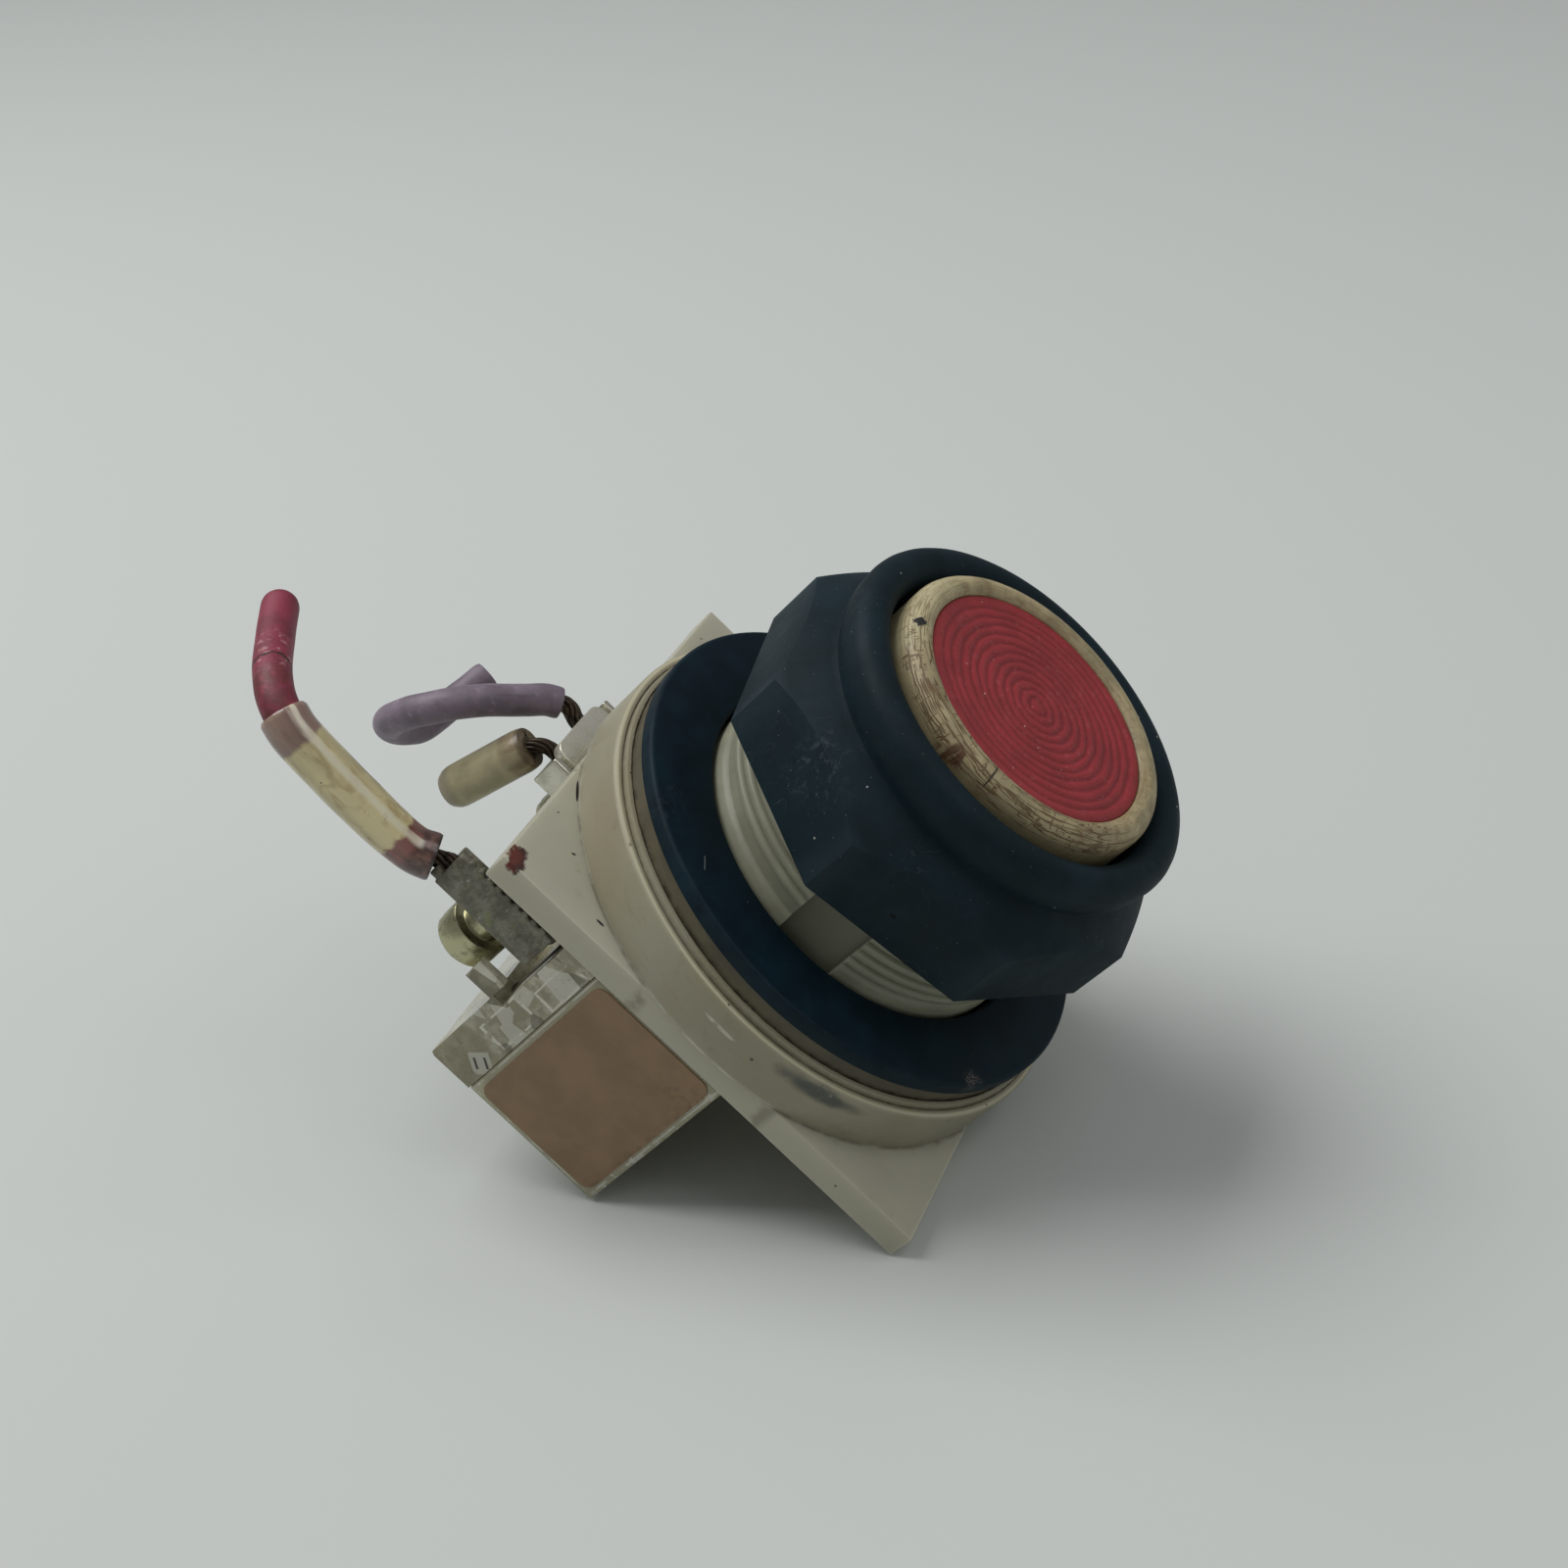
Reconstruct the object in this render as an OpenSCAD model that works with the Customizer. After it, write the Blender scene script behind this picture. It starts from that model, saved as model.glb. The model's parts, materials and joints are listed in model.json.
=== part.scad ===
// Panel push-button operator with a flush cap, a guarded ring nut and one contact block.
// +Z is the way the button faces. The origin is on the barrel's axis, at the front face of the gasket,
// which is where the back of the panel lies.

/* [Operator body] */
// Width of the square base plate
plate_w = 42.4; // [42:0.1:48]
// Thickness of the base plate
plate_t = 2.6; // [2:0.1:4]
// Diameter of the round drum in front of the plate
drum_d = 44.2; // [43.5:0.1:48]
// Height of the drum
drum_h = 4.9; // [3.5:0.1:8]
// Thickness of the web that the stem passes through
web_t = 2.6; // [2.2:0.1:3]
// Height of the web's front face above the gasket
web_z = 1.0; // [0.4:0.1:1.4]

/* [Barrel and thread] */
// Outside diameter of the barrel's thread
barrel_d = 30; // [29.6:0.1:30.3]
// Length of the barrel in front of the gasket
barrel_len = 12.8; // [11:0.1:13.2]
// Pitch of the thread
pitch = 1.5; // [1:0.1:2.5]
// Depth of the thread
thread_depth = 0.6; // [0.3:0.05:0.8]
// Length of the plain stretch before the thread starts
plain_len = 1.1; // [0.5:0.1:2]
// Width of the keyway down the barrel
keyway_w = 5.3; // [3:0.1:7]

/* [Gasket and spacer] */
// Outside diameter of the rubber gasket
gasket_d = 42.4; // [38:0.1:44]
// Hole in the gasket
gasket_hole_d = 30.6; // [30.5:0.1:32]
// Thickness of the gasket
gasket_t = 1.3; // [0.8:0.1:2.5]
// Outside diameter of the spacer ring behind the gasket
spacer_d = 41.8; // [38:0.1:43]
// Thickness of the spacer ring
spacer_t = 2.2; // [1:0.1:4]

/* [Ring nut] */
// Distance across the flats of the octagonal ring nut
nut_af = 34.6; // [34:0.1:38]
// Space between the gasket and the back of the nut
nut_gap = 6.6; // [5:0.1:7]
// Height of the nut's corners
nut_corner_h = 5.5; // [4:0.1:7]
// Height from the back of the nut to the end of its chamfer
nut_chamfer_z = 7.9; // [7:0.1:9]
// Diameter at the front of the chamfer
nut_shoulder_d = 32.4; // [31.8:0.1:34]
// Outside diameter of the guard round the button
guard_d = 32; // [31:0.1:34]
// Height of the guard's top above the gasket
guard_top = 19.5; // [19:0.1:20.5]
// Radial clearance of the nut round the barrel
nut_clear = 0.1; // [0.05:0.01:0.1]
// Turn of the nut as it stands
nut_turn = 9.2; // [0:0.1:45]

/* [Button] */
// Diameter of the button cap
cap_d = 24.9; // [24:0.1:25.4]
// Radial clearance of the cap in the barrel
cap_clear = 0.2; // [0.1:0.05:0.3]
// Height of the cap's rim above the gasket
cap_top = 20.7; // [20.5:0.1:22]
// Rounding of the cap's rim
cap_round = 1.5; // [0.8:0.1:1.5]
// Wall of the cap's skirt
cap_wall = 1.4; // [1:0.1:2]
// Thickness of the deck under the coloured insert
deck_t = 1.6; // [1.2:0.1:2.5]
// Diameter of the coloured insert
insert_d = 20.56; // [18:0.02:21.4]
// Thickness of the coloured insert
insert_t = 1.2; // [0.8:0.1:1.6]
// How far the insert's face lies below the rim
insert_sink = 0.5; // [0.3:0.1:1.2]
// Number of ring grooves in the insert
insert_rings = 9; // [4:1:12]
// Travel of the button
travel = 5.5; // [3:0.1:5.5]

/* [Stem] */
// Diameter of the stem
stem_d = 6.4; // [5:0.1:7.4]
// Radial running clearance of the stem in its bush
stem_clear = 0.06; // [0.03:0.01:0.1]
// Outside diameter of the bush in the web
bush_d = 9.6; // [9.2:0.1:11]
// Thickness of the retaining clip on the stem
clip_t = 0.8; // [0.6:0.05:1]
// Outside diameter of the retaining clip
clip_d = 10.4; // [9:0.1:12]
// Width of the push bar on the end of the stem
bar_w = 11; // [9:0.5:12]
// Length of the push bar
bar_len = 21.6; // [21:0.1:22]
// Thickness of the push bar
bar_t = 1.4; // [1:0.1:1.6]

/* [Springs] */
// Wire diameter of the return spring
spring_wire = 0.9; // [0.6:0.05:1.1]
// Mean diameter of the return spring
spring_d = 16.5; // [14:0.5:19]
// Coils in the return spring
spring_coils = 5; // [4:1:7]
// Thickness of the spring seat on the web
seat_t = 0.8; // [0.5:0.1:1]

/* [Contact block] */
// Width of the contact block's housing
block_w = 13.2; // [12:0.1:14]
// Length of the contact block
block_len = 26.2; // [26:0.1:27]
// Depth of the contact block behind the plate
block_h = 17.6; // [16.9:0.1:19]
// Place of the contact block's plunger across the plate
block_x = -3.3; // [-3.8:0.1:-2.8]
// Place of the contact block's plunger along the plate
block_y = -7.9; // [-8.1:0.1:-7.9]
// Wall of the housing
block_wall = 1.2; // [0.8:0.1:1.5]
// Width of the terminal carrier beside the housing
carrier_w = 4.1; // [4:0.1:4.6]
// Depth of the carrier's solid foot
carrier_foot = 9; // [8:0.1:9.4]
// Thickness of the label
label_t = 0.15; // [0.1:0.05:0.2]
// Margin round the label
label_margin = 0.7; // [0.3:0.1:2]
// Diameter of the block's plunger
pin_d = 4.8; // [4:0.1:5.4]
// Thickness of the contact bridge
bridge_t = 0.8; // [0.5:0.1:1]
// Diameter of the silver contact tips
tip_d = 3.2; // [2.4:0.1:3.6]
// Space for the contact spring above the bridge
contact_spring_len = 4.1; // [4:0.05:4.3]

/* [Terminals] */
// How far each terminal screw lies inside the block's end
terminal_in = 3.95; // [3.8:0.05:4.6]
// Distance from the block's plunger to the terminal screws
terminal_x = 15; // [14.8:0.1:15.6]
// Thickness of the terminal strips
strip_t = 1; // [0.8:0.1:1.2]
// Length of a wire clamp
clamp_len = 9.4; // [8:0.1:9.6]
// Width of the far terminal's clamp, between the outsides of its walls
clamp_w = 10.6; // [10:0.1:12]
// Thickness of a wire clamp's base
clamp_t = 0.8; // [0.6:0.1:1.2]
// Height of the near clamp's toothed wall above its base
clamp_wall_h = 2.9; // [1.8:0.1:2.9]
// How far the terminal screws are backed off
screw_slack = 3; // [0:0.1:3.2]
// Diameter of a terminal screw's head
screw_head_d = 5.2; // [4.6:0.1:6]
// Height of a terminal screw's head
screw_head_h = 3.2; // [2:0.1:3.5]
// Diameter of a terminal screw's shank
screw_d = 3.5; // [3:0.1:3.8]

/* [Leads] */
// Diameter of a bundle of strands
strand_d = 1.3; // [1:0.1:1.5]
// Outside diameter of the pink lead
pink_d = 3; // [2.4:0.1:3.2]
// Outside diameter of the clear sleeve on the pink lead
sleeve_d = 4.1; // [3.8:0.1:4.6]
// Outside diameter of the violet lead
violet_d = 2.7; // [2:0.1:3]
// Outside diameter of the marker sleeve
marker_d = 3.7; // [3:0.1:4]
// Length of the marker sleeve
marker_len = 8.5; // [8:0.5:11]

/* [Hidden] */
$fn = 64;
eps = 0.01;
gap = 0.3;              // air between pieces that move past each other
touch = 0.05;           // a seat that a moving piece rests against
insert_len = plate_t - 0.4;
drum_top = -gasket_t - spacer_t;
plate_top = drum_top - drum_h;
plate_back = plate_top - plate_t;
bore_d = cap_d + 2 * cap_clear;
keyway_y = 0.3 + thread_depth - barrel_d / 2;
web_back = web_z - web_t;
nut_z = nut_gap;
nut_bore_d = barrel_d + 2 * nut_clear;
nut_shoulder_z = nut_z + nut_chamfer_z;
nut_bore_top = barrel_len + gap;
guard_hole_d = cap_d + 1;
insert_top = cap_top - insert_sink;
deck_top = insert_top - insert_t;
deck_back = deck_top - deck_t;
skirt_end = web_z + seat_t + travel + gap;
clip_top = web_back - touch;
bar_back = plate_back + travel + 0.2;
bar_top = bar_back + bar_t;
bar_boss_d = 1.6 * stem_d;
bay_roof = plate_back + insert_len + 0.6;
bay_side = 2.5;         // room beside the push bar
bay_end = 1.2;          // room past each of its ends
bay_w = bar_w + 2 * bay_side;
bay_len = bar_len + 2 * bay_end;
bay_round_d = norm([bar_w, bar_len]) + 0.4;
seal_t = 1;
seal_d = bush_d - 1.2;
bush_z = web_back;
spring_z0 = web_z + seat_t;
spring_len = deck_back - spring_z0 - 2 * touch;

// contact block
block_x0 = block_x - block_w / 2;
block_x1 = block_x + block_w / 2;
block_y0 = block_y - block_len / 2;
block_y1 = block_y + block_len / 2;
block_top = plate_back;
block_back = block_top - block_h;
carrier_x0 = block_x0 - carrier_w;
foot_top = block_back + carrier_foot;
pin_top = bar_back - gap;
roof_back = block_top - block_wall;
pin_shoulder = roof_back - 0.2;
pin_stem_d = pin_d / 2;
pin_hole_d = pin_d + 0.3;
bridge_top = pin_shoulder - contact_spring_len;
bridge_back = bridge_top - bridge_t;
tip_t = 0.8;
bridge_travel = travel / 2;
collar_t = 0.9;
collar_d = pin_stem_d + 1.6;
collar_top = bridge_back - 0.1;
collar_back = collar_top - collar_t;
pin_end = collar_back - 0.5;
fixed_tip_top = bridge_back - tip_t - bridge_travel - 0.1;
strip_foot_z = fixed_tip_top - tip_t - strip_t;
pin_spring_z0 = block_back + block_wall;
pin_spring_d = pin_stem_d + 1.2;
neck_w = 3;
neck_y = 1.9;           // how far a strip's neck lies inside its screw
leg_x = block_x0 + 1;
strip_z = block_top - block_wall;
screw_x = block_x - terminal_x;
clamp_front = 5.1;      // from a terminal screw's axis to the front of its clamp
clamp_x0 = screw_x - clamp_front;
clamp_z = strip_z - strip_t - strand_d;
clamp_wall = 0.7;
pad_end = 0.4;          // how far a strip's pad reaches into the carrier
lead_y = screw_d / 2 + strand_d / 2 + 0.1;
screw_top = strip_z + 0.3;
post_x = carrier_x0 + carrier_w / 2;
post_in = 2.5;          // how far a block screw lies inside the block's end
terminal_pitch = block_len - 2 * terminal_in;
block_screw_d = 2.4;
block_screw_head_d = 3.4;
block_screw_head_h = 1.8;
insert_od = 4;
free_x = -post_x;       // the two free inserts take a second block
bridge_len = 2 * (terminal_pitch / 2 - neck_y) + tip_d + 0.8;
bridge_w = 5;

// the near saddle's base ends at near_clamp_in, so its hole is an open slot
near_clamp_out = lead_y + strand_d / 2 + clamp_wall;
near_clamp_in = 0.8;
far_clamp_in = 0.6;
far_wall_h = strand_d + strip_t;    // level with the strip's face
near_pad_in = 2.4;
far_pad_in = 0.1;
near_pad_w = 2 * (near_clamp_out - clamp_wall - 0.1);
far_pad_w = clamp_w - 2 * (clamp_wall + 0.5);
pad_round = 1.2;

// the two terminals: place along Y, side of the strip's neck, end of the strip's pad, width of the pad
TERMINALS = [[block_y - terminal_pitch / 2, 1, clamp_x0 + near_pad_in, near_pad_w],
    [block_y + terminal_pitch / 2, -1, clamp_x0 + far_pad_in, far_pad_w]];
POSTS = [block_y0 + post_in, block_y1 - post_in];

// Mouths of the clamps, where the three leads come out.
wire_z = strip_z - strip_t - strand_d / 2;
PINK_MOUTH = [clamp_x0, TERMINALS[0][0] - lead_y, wire_z];
MARKER_MOUTH = [clamp_x0, TERMINALS[1][0] - lead_y, wire_z];
VIOLET_MOUTH = [clamp_x0, TERMINALS[1][0] + lead_y, wire_z];

// Routes of the leads, each from its own mouth.
PINK_STRANDS = [[8, 0, 0], [6, 0, 0], [4, 0, 0], [2, 0, 0], [0, 0, 0], [-0.5, -0.1, -0.3],
    [-1.2, -0.3, -0.5]];
PINK_ROUTE = [[-1.2, -0.3, -0.5], [-2.6, -0.7, -0.9], [-4.2, -1.1, -0.8], [-6, -1.6, -0.4],
    [-7.9, -2.1, 0.1], [-9.8, -2.6, 0.6], [-11.7, -3, 1.1], [-13.5, -3.3, 1.5], [-15.2, -3.4, 1.8],
    [-16.7, -3, 2], [-18, -2.1, 2], [-19, -0.8, 1.8], [-19.8, 0.7, 1.4], [-20.5, 2.3, 1],
    [-21.2, 4, 0.6], [-21.9, 5.7, 0.2], [-22.6, 7.4, -0.1], [-23.3, 9.1, -0.4]];
VIOLET_STRANDS = [[8, 0, 0], [6, 0, 0], [4, 0, 0], [2, 0, 0], [0, 0, 0], [-0.45, 0.1, 0.1],
    [-0.9, 0.2, 0.25], [-1.3, 0.2, 0.3], [-1.65, 0.1, 0.3], [-2, -0.1, 0.2]];
VIOLET_ROUTE = [[-2, -0.1, 0.2], [-3.05, -0.7, -0.1], [-4.1, -2, -0.4], [-5.2, -3.2, -0.8],
    [-6.4, -4.4, -1.3], [-7.5, -5.5, -2], [-8.5, -6.5, -2.8], [-9.4, -7.1, -4], [-10.2, -7.2, -5.4],
    [-10.7, -6.8, -7], [-11, -6, -8.6], [-10.9, -4.8, -10.1], [-10.3, -3.3, -11.2],
    [-9.6, -1.8, -11.7], [-8.9, -0.2, -11.8], [-8.6, 1.6, -11.3], [-8.4, 3.3, -10.3],
    [-8.1, 4.8, -9.1], [-7.9, 6.2, -7.8]];
MARKER_STRANDS = [[8, 0, 0], [6, 0, 0], [4, 0, 0], [2, 0, 0], [0.6, 0, 0], [-0.3, -0.1, -0.05],
    [-0.95, -0.35, -0.35], [-1.35, -0.55, -0.85], [-1.65, -0.75, -1.75], [-2.05, -1, -3.3],
    [-2.55, -1.3, -5.2]];
MARKER_START = [-1.4, -0.6, -0.9];
MARKER_WAY = [-2.3, -1.4, -8.6];
SLEEVE_FIRST = 0;
SLEEVE_LAST = 9;

// Round tube along the points of a list, as one ring of corners at each point.
function unit(v) = v / norm(v);
function tangent(p, i) = unit(p[min(i + 1, len(p) - 1)] - p[max(i - 1, 0)]);
function ring_at(p, i, r, sides, up) =
    let (t = tangent(p, i), s = unit(cross(up, t)), n = cross(t, s))
    [for (k = [0 : sides - 1]) p[i] + r * (cos(360 * k / sides) * s + sin(360 * k / sides) * n)];
function skin(rings, sides, from, inward) = [for (i = [0 : rings - 2], k = [0 : sides - 1])
    let (a = from + i * sides + k, b = from + i * sides + (k + 1) % sides)
    each inward ? [[b, a, a + sides], [b, a + sides, b + sides]]
        : [[a, b, b + sides], [a, b + sides, a + sides]]];
function ring_end(sides, outer, inner, flip) = [for (k = [0 : sides - 1])
    let (m = (k + 1) % sides)
    each flip ? [[outer + m, outer + k, inner + k], [outer + m, inner + k, inner + m]]
        : [[outer + k, outer + m, inner + m], [outer + k, inner + m, inner + k]]];

module tube(p, d, sides = 8, up = [0, 0.3, 1]) {
    rings = len(p);
    last = (rings - 1) * sides;
    points = [for (i = [0 : rings - 1]) each ring_at(p, i, d / 2, sides, up)];
    ends = [[for (k = [sides - 1 : -1 : 0]) k], [for (k = [0 : sides - 1]) last + k]];
    polyhedron(points, concat(skin(rings, sides, 0, false), ends), convexity = 10);
}

// Pipe round a tube of the same route, from its point number first to its point number last.
module pipe(p, d_out, d_in, first, last, sides = 8, up = [0, 0.3, 1]) {
    rings = last - first + 1;
    half = rings * sides;
    points = [for (d = [d_out, d_in], i = [first : last]) each ring_at(p, i, d / 2, sides, up)];
    polyhedron(points, concat(skin(rings, sides, 0, false), skin(rings, sides, half, true),
        ring_end(sides, 0, half, true), ring_end(sides, half - sides, 2 * half - sides, false)),
        convexity = 10);
}

// Open-coiled spring with its lower end at z0.
module coil(d, wire, coils, z0, length) {
    steps = 14 * coils;
    rise = length - wire;
    p = [for (i = [0 : steps])
        let (a = 360 * coils * i / steps)
        [d / 2 * cos(a), d / 2 * sin(a), z0 + wire / 2 + rise * i / steps]];
    tube(p, wire, 6, [0, 0, 1]);
}

// Box from its low corner to its high corner.
module box(low, high) {
    translate(low) cube(high - low);
}

module at_block() {
    translate([block_x, block_y, 0]) children();
}

module barrel_shape() {
    threads = floor((barrel_len - plain_len) / pitch);
    root = barrel_d / 2 - thread_depth;
    crest = barrel_d / 2;
    land = pitch * 0.2;
    flank = pitch * 0.25;
    ridges = [for (k = [0 : threads - 1])
        let (z = plain_len + k * pitch)
        each [[root, z], [crest, z + flank], [crest, z + flank + land], [root, z + 2 * flank + land]]];
    rotate_extrude($fn = 96)
        polygon(concat([[0, drum_top - eps], [crest, drum_top - eps], [crest, plain_len - 0.3],
            [root, plain_len - 0.2]], ridges,
            [[root, barrel_len - 0.4], [root - 0.3, barrel_len], [0, barrel_len]]));
}

module operator_body() {
    color("ivory")
    difference() {
        union() {
            box([-plate_w / 2, -plate_w / 2, plate_back], [plate_w / 2, plate_w / 2, plate_top]);
            translate([0, 0, plate_top - eps]) cylinder(d = drum_d, h = drum_h + eps, $fn = 128);
            barrel_shape();
        }
        translate([0, 0, web_z]) cylinder(d = bore_d, h = barrel_len, $fn = 96);
        translate([0, 0, web_back - eps]) cylinder(d = bush_d, h = web_t + 2 * eps);
        box([-bay_w / 2, -bay_len / 2, plate_back - eps], [bay_w / 2, bay_len / 2, bay_roof + eps]);
        translate([0, 0, bay_roof]) cylinder(d = bay_round_d, h = web_back - bay_roof, $fn = 96);
        box([-keyway_w / 2, -barrel_d, -gasket_t], [keyway_w / 2, keyway_y, barrel_len + eps]);
        for (y = POSTS, x = [post_x, free_x])
            translate([x, y, plate_back - eps]) cylinder(d = insert_od, h = insert_len + eps, $fn = 32);
    }
}

module spacer_ring() {
    color("tan")
    translate([0, 0, drum_top])
    difference() {
        cylinder(d = spacer_d, h = spacer_t, $fn = 128);
        translate([0, 0, -eps]) cylinder(d = gasket_hole_d, h = spacer_t + 2 * eps, $fn = 96);
    }
}

module panel_gasket() {
    edge = 0.2;
    color("black")
    rotate_extrude($fn = 128)
        polygon([[gasket_hole_d / 2, -gasket_t], [gasket_d / 2, -gasket_t], [gasket_d / 2, -edge],
            [gasket_d / 2 - edge, 0], [gasket_hole_d / 2, 0]]);
}

module fixing_inserts() {
    color("goldenrod")
    for (y = POSTS, x = [post_x, free_x])
        translate([x, y, plate_back])
        difference() {
            cylinder(d = insert_od, h = insert_len, $fn = 32);
            translate([0, 0, -eps]) cylinder(d = block_screw_d + 0.1, h = insert_len - 0.4, $fn = 32);
        }
}

module stem_bush() {
    color("dimgray")
    translate([0, 0, bush_z])
    difference() {
        cylinder(d = bush_d, h = web_t);
        translate([0, 0, -eps]) cylinder(d = stem_d + 2 * stem_clear, h = web_t + 2 * eps);
        translate([0, 0, web_t - seal_t]) cylinder(d = seal_d, h = seal_t + eps);
    }
}

module stem_seal() {
    color("black")
    translate([0, 0, web_z - seal_t])
    difference() {
        cylinder(d = seal_d, h = seal_t);
        translate([0, 0, -eps]) cylinder(d = stem_d + 2 * stem_clear, h = seal_t + 2 * eps);
    }
}

module spring_seat() {
    color("silver")
    translate([0, 0, web_z])
    difference() {
        cylinder(d = bore_d - 0.6, h = seat_t);
        translate([0, 0, -eps]) cylinder(d = stem_d + 1, h = seat_t + 2 * eps);
    }
}

module ring_nut() {
    corner_r = nut_af / 2 / cos(22.5);
    valley_r = guard_d / 2 - 0.75;
    valley_z = nut_shoulder_z + 0.75;
    bulge_in = 2.1;         // from the guard's top to its widest place
    bulge_z = guard_top - bulge_in;
    lip_r = guard_hole_d / 2;
    roll_r = (guard_d / 2 - lip_r) / 2;
    roll_mid = guard_d / 2 - roll_r;
    roll_z = guard_top - roll_r;
    roll = [for (a = [0 : 15 : 180]) [roll_mid + roll_r * cos(a), roll_z + roll_r * sin(a)]];
    color("#20262b")
    difference() {
        intersection() {
            translate([0, 0, nut_z]) rotate(nut_turn + 22.5)
                cylinder(r = corner_r, h = guard_top, $fn = 8);
            rotate_extrude($fn = 96)
                polygon(concat([[0, nut_z], [corner_r + 1, nut_z],
                    [corner_r + 1, nut_z + nut_corner_h - 1], [nut_shoulder_d / 2, nut_shoulder_z],
                    [valley_r, valley_z], [valley_r + 0.25, valley_z + 0.6],
                    [guard_d / 2 - 0.12, bulge_z - 0.8]], roll, [[0, roll_z]]));
        }
        translate([0, 0, nut_z - eps]) cylinder(d = nut_bore_d, h = nut_bore_top - nut_z + eps, $fn = 96);
        cylinder(d = guard_hole_d, h = guard_top + 1, $fn = 96);
    }
}

module button_cap() {
    rim_in = insert_d / 2;
    roll = [for (a = [0 : 15 : 90])
        [cap_d / 2 - cap_round + cap_round * cos(a), cap_top - cap_round + cap_round * sin(a)]];
    color("antiquewhite")
    difference() {
        rotate_extrude($fn = 96)
            polygon(concat([[0, skirt_end], [cap_d / 2, skirt_end]], roll, [[rim_in + 0.3, cap_top - 0.2],
                [rim_in, insert_top], [rim_in, deck_top], [0, deck_top]]));
        translate([0, 0, skirt_end - eps])
            cylinder(d = cap_d - 2 * cap_wall, h = deck_back - skirt_end + eps, $fn = 96);
    }
}

module colour_insert() {
    step = (insert_d / 2 - 0.8) / insert_rings;
    groove = 0.12;
    grooves = [for (k = [insert_rings - 1 : -1 : 0])
        let (r = 0.5 + k * step)
        each [[r + step, insert_top], [r + step * 0.35, insert_top - groove / 3],
            [r + eps, insert_top - groove]]];
    color("crimson")
    rotate_extrude($fn = 96)
        polygon(concat([[0, deck_top], [insert_d / 2, deck_top], [insert_d / 2, insert_top]], grooves,
            [[0, insert_top - groove]]));
}

module plunger_stem() {
    groove_z = clip_top - clip_t;
    color("lightgray")
    difference() {
        translate([0, 0, bar_back]) cylinder(d = stem_d, h = deck_back - bar_back);
        translate([0, 0, groove_z])
        difference() {
            cylinder(d = stem_d + 1, h = clip_t);
            translate([0, 0, -eps]) cylinder(d = stem_d - 1, h = clip_t + 2 * eps);
        }
    }
}

module stem_clip() {
    color("silver")
    translate([0, 0, clip_top - clip_t])
    difference() {
        cylinder(d = clip_d, h = clip_t);
        translate([0, 0, -eps]) cylinder(d = stem_d - 1, h = clip_t + 2 * eps);
        box([-(stem_d - 1.6) / 2, 0, -eps], [(stem_d - 1.6) / 2, clip_d, clip_t + eps]);
    }
}

module push_bar() {
    color("darkslategray")
    difference() {
        union() {
            box([-bar_w / 2, -bar_len / 2, bar_back], [bar_w / 2, bar_len / 2, bar_top]);
            translate([0, 0, bar_top - eps]) cylinder(d = bar_boss_d, h = 0.3 + eps);
        }
        translate([0, 0, bar_back - eps]) cylinder(d = stem_d, h = bar_t + 1);
    }
}

module return_spring() {
    color("gray")
    coil(spring_d, spring_wire, spring_coils, spring_z0 + touch, spring_len);
}

module block_housing() {
    color("lightyellow", 0.6)
    difference() {
        box([block_x0, block_y0, block_back], [block_x1, block_y1, block_top]);
        box([block_x0 - eps, block_y0 + block_wall, block_back + block_wall],
            [block_x1 - block_wall, block_y1 - block_wall, roof_back]);
        at_block() translate([0, 0, roof_back - eps]) cylinder(d = pin_hole_d, h = block_wall + 2 * eps);
    }
}

module terminal_carrier() {
    slot = 0.15;
    rib_w = 1;
    ledge = 2.6;            // how far the lip and the barrier stand out
    lip_t = 0.8;
    lip_h = 1.6;
    recess_y = 3.2;         // place of the recess beside each strip's neck
    color("khaki", 0.7)
    difference() {
        union() {
            box([carrier_x0, block_y0, block_back], [block_x0, block_y1, foot_top]);
            box([carrier_x0 + rib_w, block_y0, foot_top - eps], [block_x0, block_y1, block_top]);
            box([carrier_x0 - ledge, block_y0, foot_top - 0.4],
                [carrier_x0 + eps, block_y0 + lip_t, foot_top + lip_h]);
            box([carrier_x0 - ledge, block_y - rib_w, foot_top - 2],
                [carrier_x0 + rib_w + eps, block_y + rib_w, block_top]);
        }
        for (t = TERMINALS) {
            inner = t[0] + t[1] * neck_y;
            recess = inner + t[1] * recess_y;
            box([carrier_x0 - 1, inner - neck_w / 2 - slot, strip_z - strip_t - slot],
                [block_x0 + eps, inner + neck_w / 2 + slot, strip_z + slot]);
            box([carrier_x0 - 1, recess - rib_w, foot_top + rib_w],
                [block_x0 - rib_w, recess + rib_w, block_top - rib_w]);
        }
        for (y = POSTS) translate([post_x, y, block_back - eps]) {
            cylinder(d = block_screw_d + 0.2, h = block_h + 2 * eps, $fn = 32);
            cylinder(d = block_screw_head_d + 0.2, h = block_screw_head_h + 0.2, $fn = 32);
        }
    }
}

module block_label() {
    color("burlywood")
    box([block_x0 + label_margin, block_y0 - label_t, block_back + label_margin],
        [block_x1 - label_margin, block_y0, block_top - 0.3]);
}

module block_screws() {
    slot_w = 0.6;
    color("silver")
    for (y = POSTS) translate([post_x, y, block_back + 0.1])
        difference() {
            union() {
                cylinder(d = block_screw_head_d, h = block_screw_head_h, $fn = 32);
                cylinder(d = block_screw_d, h = block_h + insert_len - 1.2, $fn = 32);
            }
            box([-block_screw_head_d, -slot_w / 2, -eps], [block_screw_head_d, slot_w / 2, 0.8]);
        }
}

module block_plunger() {
    color("seagreen")
    at_block() {
        translate([0, 0, pin_shoulder]) cylinder(d = pin_d, h = pin_top - pin_shoulder, $fn = 48);
        translate([0, 0, pin_end]) cylinder(d = pin_stem_d, h = pin_shoulder - pin_end + eps, $fn = 32);
    }
}

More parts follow.
